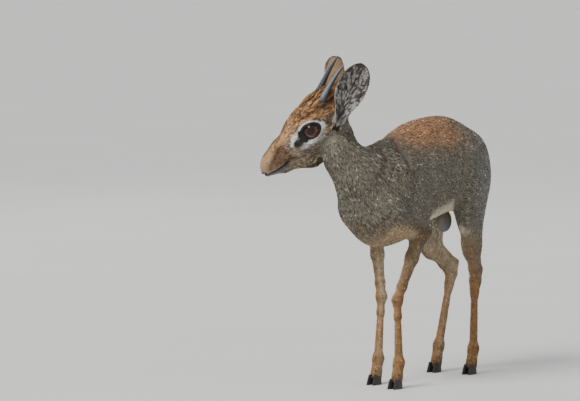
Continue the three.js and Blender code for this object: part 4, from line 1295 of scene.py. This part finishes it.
def grow_ear_hair(side, name, coat, rng):
    """Short hair over the back, long pale hairs inside, and a fringe along both edges."""
    along, open_way = (ear_frame(side)[i] * vec(1, side, 1) @ HEAD_AXES for i in (0, 2))
    scale = 1
    clumps, step = 280, 0.01
    for part, count, inset, length, lift in (
        ("back", 5200, 0.0, 4.2, 8),
        ("inside", 3800, 1.0, 9.5, 7),
        ("fringe", 2200, 0.5, 6.0, 5),
    ):
        count = int(count * scale)
        share = rng.uniform(0.04, 0.985, count)
        v = rng.uniform(-1, 1, count)
        if part == "fringe":
            v = np.sign(v) * rng.uniform(0.93, 1.0, count)
        if part == "inside":
            clump = rng.integers(0, clumps, count)
            share = (-0.02 + 0.95 * rng.random(clumps) ** 1.25)[clump] + rng.normal(0, 0.012, count)
            v = np.clip(rng.uniform(-0.95, 0.95, clumps)[clump] + rng.normal(0, 0.02, count), -0.97, 0.97)
        root = ear_point(side, share, v, inset)
        ahead = ear_point(side, share + step, v, inset) - root
        inner_v = np.clip(v, -0.98, 0.98)
        sideways = ear_point(side, share, inner_v + step, inset) - ear_point(side, share, inner_v, inset)
        normal = np.cross(ahead, sideways)
        normal /= np.maximum(np.linalg.norm(normal, axis=1, keepdims=True), 1e-9)
        if part == "inside":
            outward = normal @ open_way
        else:
            outward = (normal * (root - ear_point(side, share, v * 0, 0.5))).sum(1) - normal @ open_way
        normal *= np.sign(outward)[:, None]
        spread = {"back": 0.0, "inside": 1.0, "fringe": 0.9}[part] * np.sign(v) * np.minimum(1, 3 * np.abs(v))
        sideways = sideways / np.maximum(np.linalg.norm(sideways, axis=1, keepdims=True), 1e-9)
        lie = along + rng.normal(0, 0.12, (count, 3)) + spread[:, None] * sideways
        lie = lie - normal * (lie * normal).sum(1, keepdims=True)
        lie /= np.maximum(np.linalg.norm(lie, axis=1, keepdims=True), 1e-9)
        long_hair = length * (1 - 0.55 * share) * rng.uniform(0.7, 1.3, count)
        colour = ear_marking(share, v, np.full(count, min(1.0, inset * 2)))
        if part == "inside":
            colour = lay(colour, EAR_PALE, np.where(rng.random(clumps)[clump] < 0.3, 0.12, 0.85))
        if part == "fringe":
            colour = lay(colour, EAR_PALE, ramp(-share, -0.75, -0.5) * 0.8)
        flat = np.column_stack([0.7 + 0.06 * side + 0.05 * v, 0.55 + 0.2 * inset + 0.18 * share])
        shade = np.exp(rng.normal(0, 0.2, count))
        width = rng.uniform(0.35, 0.7, count)
        rise = np.radians(lift) * rng.uniform(0.4, 1.8, count)
        label = "%s_%s" % (name, part)
        hair = grow(label, root, normal, lie, long_hair, width, rise, colour, shade, flat, sink=0.2)
        finish_piece(hair, coat, "ear_coat", name)


def make_eye(side, name, material):
    rings, sides = ((64, 96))
    look, (ahead, upward) = EYE_LOOK, eye_axes()
    angle = np.linspace(0.012, np.pi - 0.012, rings)[:, None]
    turn = np.linspace(0, 2 * np.pi, sides, endpoint=False)[None, :]
    way = (
        np.cos(angle)[..., None] * look
        + (np.sin(angle) * np.cos(turn))[..., None] * ahead
        + (np.sin(angle) * np.sin(turn))[..., None] * upward
    )
    radius = EYE_RADIUS + EYE_BULGE * np.exp(-((angle / 0.62) ** 4))
    ball = EYE_CENTRE + way * radius[..., None]
    front, back = EYE_CENTRE + look * (EYE_RADIUS + EYE_BULGE), EYE_CENTRE - look * EYE_RADIUS
    points, faces = closed(ball, front, back)
    eye = mesh_object(name, from_head(flip_side(points, side)), [f[:, ::side] for f in faces])
    v = points - EYE_CENTRE
    store_map(eye.data, "iris", 0.5 + np.column_stack([v @ ahead, v @ upward]) / IRIS_SPAN)
    finish_piece(eye, material, "eye", name)


def make_horn(side, name, material):
    count, sides = ((150, 40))
    t = np.linspace(-0.02, 0.985, count)
    line = horn_line(t)
    ahead = np.gradient(line, axis=0)
    ahead /= np.linalg.norm(ahead, axis=1, keepdims=True)
    out = np.cross(ahead, vec(0, 1, 0))
    out /= np.linalg.norm(out, axis=1, keepdims=True)
    wide = np.cross(out, ahead)
    body = horn_radius(np.clip(t, 0, 1))
    turn = np.linspace(0, 2 * np.pi, sides, endpoint=False)
    fade = ramp(t, 0.1, 0.2) * (1 - ramp(t, 0.52, 0.66))
    wave = 0.5 - 0.5 * np.cos(2 * np.pi * (t[:, None] * HORN_RINGS + 0.12 * np.cos(turn)))
    ridge = (0.85 * (1 - t) * fade)[:, None] * (wave**1.6 - 0.35)
    radius = body[:, None] + ridge + 0.1 * np.sin(turn * 9 + t[:, None] * 6) * (1 - t)[:, None]
    radial = np.cos(turn)[:, None] * wide[:, None] + np.sin(turn)[:, None] * out[:, None]
    rings = line[:, None] + radius[..., None] * radial
    points, faces = closed(rings, line[0], HORN_LINE[2])
    horn = mesh_object(name, from_head(flip_side(points, side)), [f[:, ::side] for f in faces])
    store_value(horn.data, "along", np.concatenate([np.repeat(t, sides), [0, 1]]))
    store_value(horn.data, "around", np.concatenate([np.tile(np.abs(turn / np.pi - 1), count), [0, 0]]))
    # Where the painted highlight lies on each horn: a band down its front, stored as front.
    front = np.clip(np.cos(turn + 1.0), 0, 1) ** 4
    store_value(horn.data, "front", np.concatenate([(front * ramp(t, 0.15, 0.35)[:, None]).ravel(), [0, 0]]))
    finish_piece(horn, material, "horn", name)


def make_hooves(material):
    levels, sides = ((22, 48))
    circle = np.linspace(0, 2 * np.pi, sides, endpoint=False)
    share, turn = np.meshgrid(np.linspace(0, 1, levels), circle, indexing="ij")
    for leg, (*_, fetlock, toe) in LEGS.items():
        coronet = vec(toe[0] + 1.2, toe[1], HOOF_HEIGHT)
        down = unit(coronet - fetlock)
        for place, side in (("inner", -np.sign(toe[1])), ("outer", np.sign(toe[1]))):
            ahead = np.cos(turn)
            size = 1 - 0.26 * share + 0.03 * np.sin(np.pi * share)
            narrow = np.where(ahead > 0, 1 - 0.45 * ahead**2, 1 - 0.12 * ahead**2)
            x = toe[0] - 3 - ahead * size * HOOF_LENGTH * 0.5 + share * 3.4
            y = toe[1] + side * (HOOF_APART - 0.4 * share) + np.sin(turn) * size * narrow * HOOF_WIDTH * 0.5
            z = share * (coronet[2] - down[0] / down[2] * (x - coronet[0]))
            rings = np.stack([x, y, z], -1)
            name = "%s_hoof_%s" % (leg, place)
            points, faces = closed(rings, vec(toe[0] - 3, toe[1] + side * HOOF_APART, 0), rings[-1].mean(0))
            hoof = mesh_object(name, points, faces)
            store_value(hoof.data, "along", np.concatenate([share.ravel(), [0, 1]]))
            store_value(hoof.data, "around", np.concatenate([np.abs(turn.ravel() / np.pi - 1), [0, 0]]))
            finish_piece(hoof, material, "hoof", name)


def make_scrotum(material):
    centre, size = SCROTUM
    count, sides = 40, 56
    rise = np.linspace(-np.pi / 2 + 0.05, np.pi / 2 - 0.05, count)
    circle = np.linspace(0, 2 * np.pi, sides, endpoint=False)
    rise, turn = np.meshgrid(rise, circle, indexing="ij")
    way = np.stack([np.cos(rise) * np.cos(turn), np.cos(rise) * np.sin(turn), np.sin(rise)], -1)
    cleft = 1 - 0.10 * bell(np.sin(turn), 0.3) * ramp(-way[..., 2], -0.4, 0.6)
    crease = 1 + 0.012 * np.sin(way[..., 2] * 26 + 2 * np.sin(turn * 3)) + 0.01 * np.sin(turn * 17)
    size = size * 0.97
    rings = centre + way * size * (cleft * crease)[..., None]
    points, faces = closed(rings, centre - vec(0, 0, size[2]), centre + vec(0, 0, size[2]))
    pouch = mesh_object("scrotum", points, faces)
    store_colour(pouch.data, "marking", np.tile(tone(112, 108, 104), (len(points), 1)))
    store_value(pouch.data, "bare", np.full(len(points), 0.25))
    finish_piece(pouch, material, "bare_skin", "scrotum")


def size_of(label, description, value, **limits):
    return FloatProperty(name=label, description=description, default=value, **limits)


def shade_of(label, description, *value):
    return FloatVectorProperty(name=label, description=description, default=value, subtype="COLOR", size=3)


def share_of(label, description, value):
    return size_of(label, description, value, min=0, max=1, subtype="FACTOR")


class DikDikSettings(bpy.types.PropertyGroup):
    """Sizes and colours a user would change."""

    body_tufts: IntProperty(
        name="Tufts", description="How many tufts the coat has", default=116000, min=1000, max=180000
    )
    coat_seed: IntProperty(name="Coat seed", description="Seed of the coat's scatter", default=11)
    coat_contrast: share_of("Grizzle", "Contrast of dark and pale hairs", 0.6)
    coat_sheen: share_of("Sheen", "Soft sheen of the coat", 0.12)
    horn_dark: shade_of("Horn", "Dark colour of the horns", 0.012, 0.013, 0.018)
    horn_pale: shade_of("Horn streaks", "Pale colour of the horns", 0.07, 0.07, 0.08)
    hoof_dark: shade_of("Hoof", "Dark colour of the hooves", 0.008, 0.007, 0.006)
    hoof_pale: shade_of("Hoof wear", "Worn colour of the hooves", 0.045, 0.036, 0.028)
    floor_size: size_of("Floor", "Length of the floor's side", 60.0, min=2, unit="LENGTH")
    key_power: size_of("Key light", "Strength of the main light", 2.8, min=0)
    fill_power: size_of("Fill light", "Power of the side lights", 16.0, min=0, unit="POWER")
    lens: size_of("Lens", "Focal length of the camera in millimetres", 278.07, min=20)


def settings():
    return bpy.context.scene.dikdik


def grizzle():
    return bpy.data.node_groups.get("grizzled_hair") or grizzle_group()


def finish(name, make, *values):
    """A material by name, made the first time that a piece needs it."""
    return bpy.data.materials.get(name) or make(name, *values)


def coat_finish():
    s = settings()
    return finish("coat_hair", coat_material, grizzle(), s.coat_contrast, 800.0, 0.35, s.coat_sheen)


class DIKDIK_OT_skin(bpy.types.Operator):
    """Builds the skin of body, legs, tail and head as one surface"""

    bl_idname = "dikdik.skin"
    bl_label = "Skin"

    def execute(self, context):
        skin = make_skin()
        nodes = ["torso", "neck", "head", "tail"]
        nodes += ["%s_%s" % (leg, part) for leg in LEGS for part in ("upper", "cannon", "pastern")]
        finish_piece(skin, finish("skin_hair", skin_material, grizzle()), "body_coat", *nodes)
        return {"FINISHED"}


class DIKDIK_OT_coat(bpy.types.Operator):
    """Grows the coat's tufts on the skin, along the lie of the hair"""

    bl_idname = "dikdik.coat"
    bl_label = "Coat"

    def execute(self, context):
        skin = bpy.data.objects["skin"]
        for piece in make_coat(skin, settings().coat_seed, settings().body_tufts):
            finish_piece(piece, coat_finish(), "body_coat", "torso")
        return {"FINISHED"}


class DIKDIK_OT_crest(bpy.types.Operator):
    """Grows the crest of long locks on the forehead, the lashes and the whiskers"""

    bl_idname = "dikdik.crest"
    bl_label = "Crest"

    def execute(self, context):
        finish_piece(make_crest(settings().coat_seed + 1), coat_finish(), "face_coat", "head")
        finish_piece(make_lashes(settings().coat_seed + 2), coat_finish(), "face_coat", "head")
        return {"FINISHED"}


class DIKDIK_OT_ears(bpy.types.Operator):
    """Builds both ears with their hair"""

    bl_idname = "dikdik.ears"
    bl_label = "Ears"

    def execute(self, context):
        for side, name in ((1, "ear_left"), (-1, "ear_right")):
            material = finish("skin_hair", skin_material, grizzle())
            make_ear(side, name, material, coat_finish(), settings().coat_seed + 20 + side)
        return {"FINISHED"}


class DIKDIK_OT_eyes(bpy.types.Operator):
    """Builds both eyes"""

    bl_idname = "dikdik.eyes"
    bl_label = "Eyes"

    def execute(self, context):
        for side, name in ((1, "eye_left"), (-1, "eye_right")):
            make_eye(side, name, finish("wet_eye", eye_material))
        return {"FINISHED"}


class DIKDIK_OT_horns(bpy.types.Operator):
    """Builds both horns with their rings"""

    bl_idname = "dikdik.horns"
    bl_label = "Horns"

    def execute(self, context):
        s = settings()
        material = finish("horn_sheath", horn_material, s.horn_dark, s.horn_pale, 120.0, 0.26)
        for side, name in ((1, "horn_left"), (-1, "horn_right")):
            make_horn(side, name, material)
        return {"FINISHED"}


class DIKDIK_OT_hooves(bpy.types.Operator):
    """Builds the eight hooves"""

    bl_idname = "dikdik.hooves"
    bl_label = "Hooves"

    def execute(self, context):
        s = settings()
        make_hooves(finish("hoof_wall", horn_material, s.hoof_dark, s.hoof_pale, 40.0, 0.42))
        return {"FINISHED"}


class DIKDIK_OT_scrotum(bpy.types.Operator):
    """Builds the scrotum"""

    bl_idname = "dikdik.scrotum"
    bl_label = "Scrotum"

    def execute(self, context):
        make_scrotum(finish("skin_hair", skin_material, grizzle()))
        return {"FINISHED"}


class DIKDIK_OT_stage(bpy.types.Operator):
    """Sets the floor, the lights and the camera"""

    bl_idname = "dikdik.stage"
    bl_label = "Stage"

    def execute(self, context):
        s = settings()
        square = np.array([(-1, -1, 0), (1, -1, 0), (1, 1, 0), (-1, 1, 0)])
        corner = square * s.floor_size / 2 / MM - SHIFT * vec(1, 1, 0)
        floor = mesh_object("floor", corner, [np.array([[0, 1, 2, 3]])], False)
        floor.data.materials.append(finish("pale_floor", ground_material))
        world = bpy.data.worlds.new("studio")
        world.use_nodes = True
        world.node_tree.nodes["Background"].inputs[0].default_value = (0.93, 0.95, 1.0, 1)
        world.node_tree.nodes["Background"].inputs[1].default_value = 0.6
        bpy.context.scene.world = world
        for name, kind, place, size, power in (
            ("key", "SUN", (-2.2, 0.5, 2.4), 0.5, s.key_power),
            ("fill", "AREA", (0.6, -2.6, 1.5), 2.2, s.fill_power * 0.6),
            ("catch", "AREA", (-1.45, 0.02, 1.25), 0.5, s.fill_power * 0.4),
            ("back", "AREA", (1.8, 2.2, 2.0), 1.8, s.fill_power),
        ):
            light = bpy.data.lights.new(name, kind)
            light.energy = power
            setattr(light, "angle" if kind == "SUN" else "size", size)
            lamp = bpy.data.objects.new(name, light)
            lamp.location = place
            aim = Vector((0, 0, BODY_MIDDLE)) - lamp.location
            lamp.rotation_euler = aim.to_track_quat("-Z", "Y").to_euler()
            bpy.context.scene.collection.objects.link(lamp)
        set_camera(s.lens)
        return {"FINISHED"}


def set_camera(lens):
    """The photograph's view: seven metres away, a little above the back, from the left and ahead."""
    aim = VIEW_RIGHT * (IMAGE_MIDDLE[0] - FLOOR_POINT[0]) + VIEW_UP * (FLOOR_POINT[1] - IMAGE_MIDDLE[1])
    place = aim / PIXELS_PER_MM + VIEW_BACK * CAMERA_AWAY + SHIFT
    camera = bpy.data.cameras.new("camera")
    camera.lens, camera.sensor_width = lens, 36
    camera.clip_start, camera.clip_end = 0.1, 60
    obj = bpy.data.objects.new("camera", camera)
    obj.location = place * MM
    obj.rotation_euler = Vector(-VIEW_BACK).to_track_quat("-Z", "Y").to_euler()
    bpy.context.scene.collection.objects.link(obj)
    bpy.context.scene.camera = obj


OPERATORS = (
    DIKDIK_OT_skin,
    DIKDIK_OT_coat,
    DIKDIK_OT_crest,
    DIKDIK_OT_ears,
    DIKDIK_OT_eyes,
    DIKDIK_OT_horns,
    DIKDIK_OT_hooves,
    DIKDIK_OT_scrotum,
    DIKDIK_OT_stage,
)


class DIKDIK_PT_panel(bpy.types.Panel):
    bl_idname = "DIKDIK_PT_panel"
    bl_label = "Dik-dik"
    bl_space_type = "VIEW_3D"
    bl_region_type = "UI"
    bl_category = "Dik-dik"

    def draw(self, context):
        for name in DikDikSettings.__annotations__:
            self.layout.prop(context.scene.dikdik, name)
        for operator in OPERATORS:
            self.layout.operator(operator.bl_idname)


CLASSES = (DikDikSettings, *OPERATORS, DIKDIK_PT_panel)


def register():
    for cls in CLASSES:
        bpy.utils.register_class(cls)
    bpy.types.Scene.dikdik = PointerProperty(type=DikDikSettings)


def unregister():
    del bpy.types.Scene.dikdik
    for cls in reversed(CLASSES):
        bpy.utils.unregister_class(cls)


def main():
    register()
    for operator in OPERATORS:
        name = operator.bl_idname.split(".")[1]
        getattr(bpy.ops.dikdik, name)()


if __name__ == "__main__":
    main()
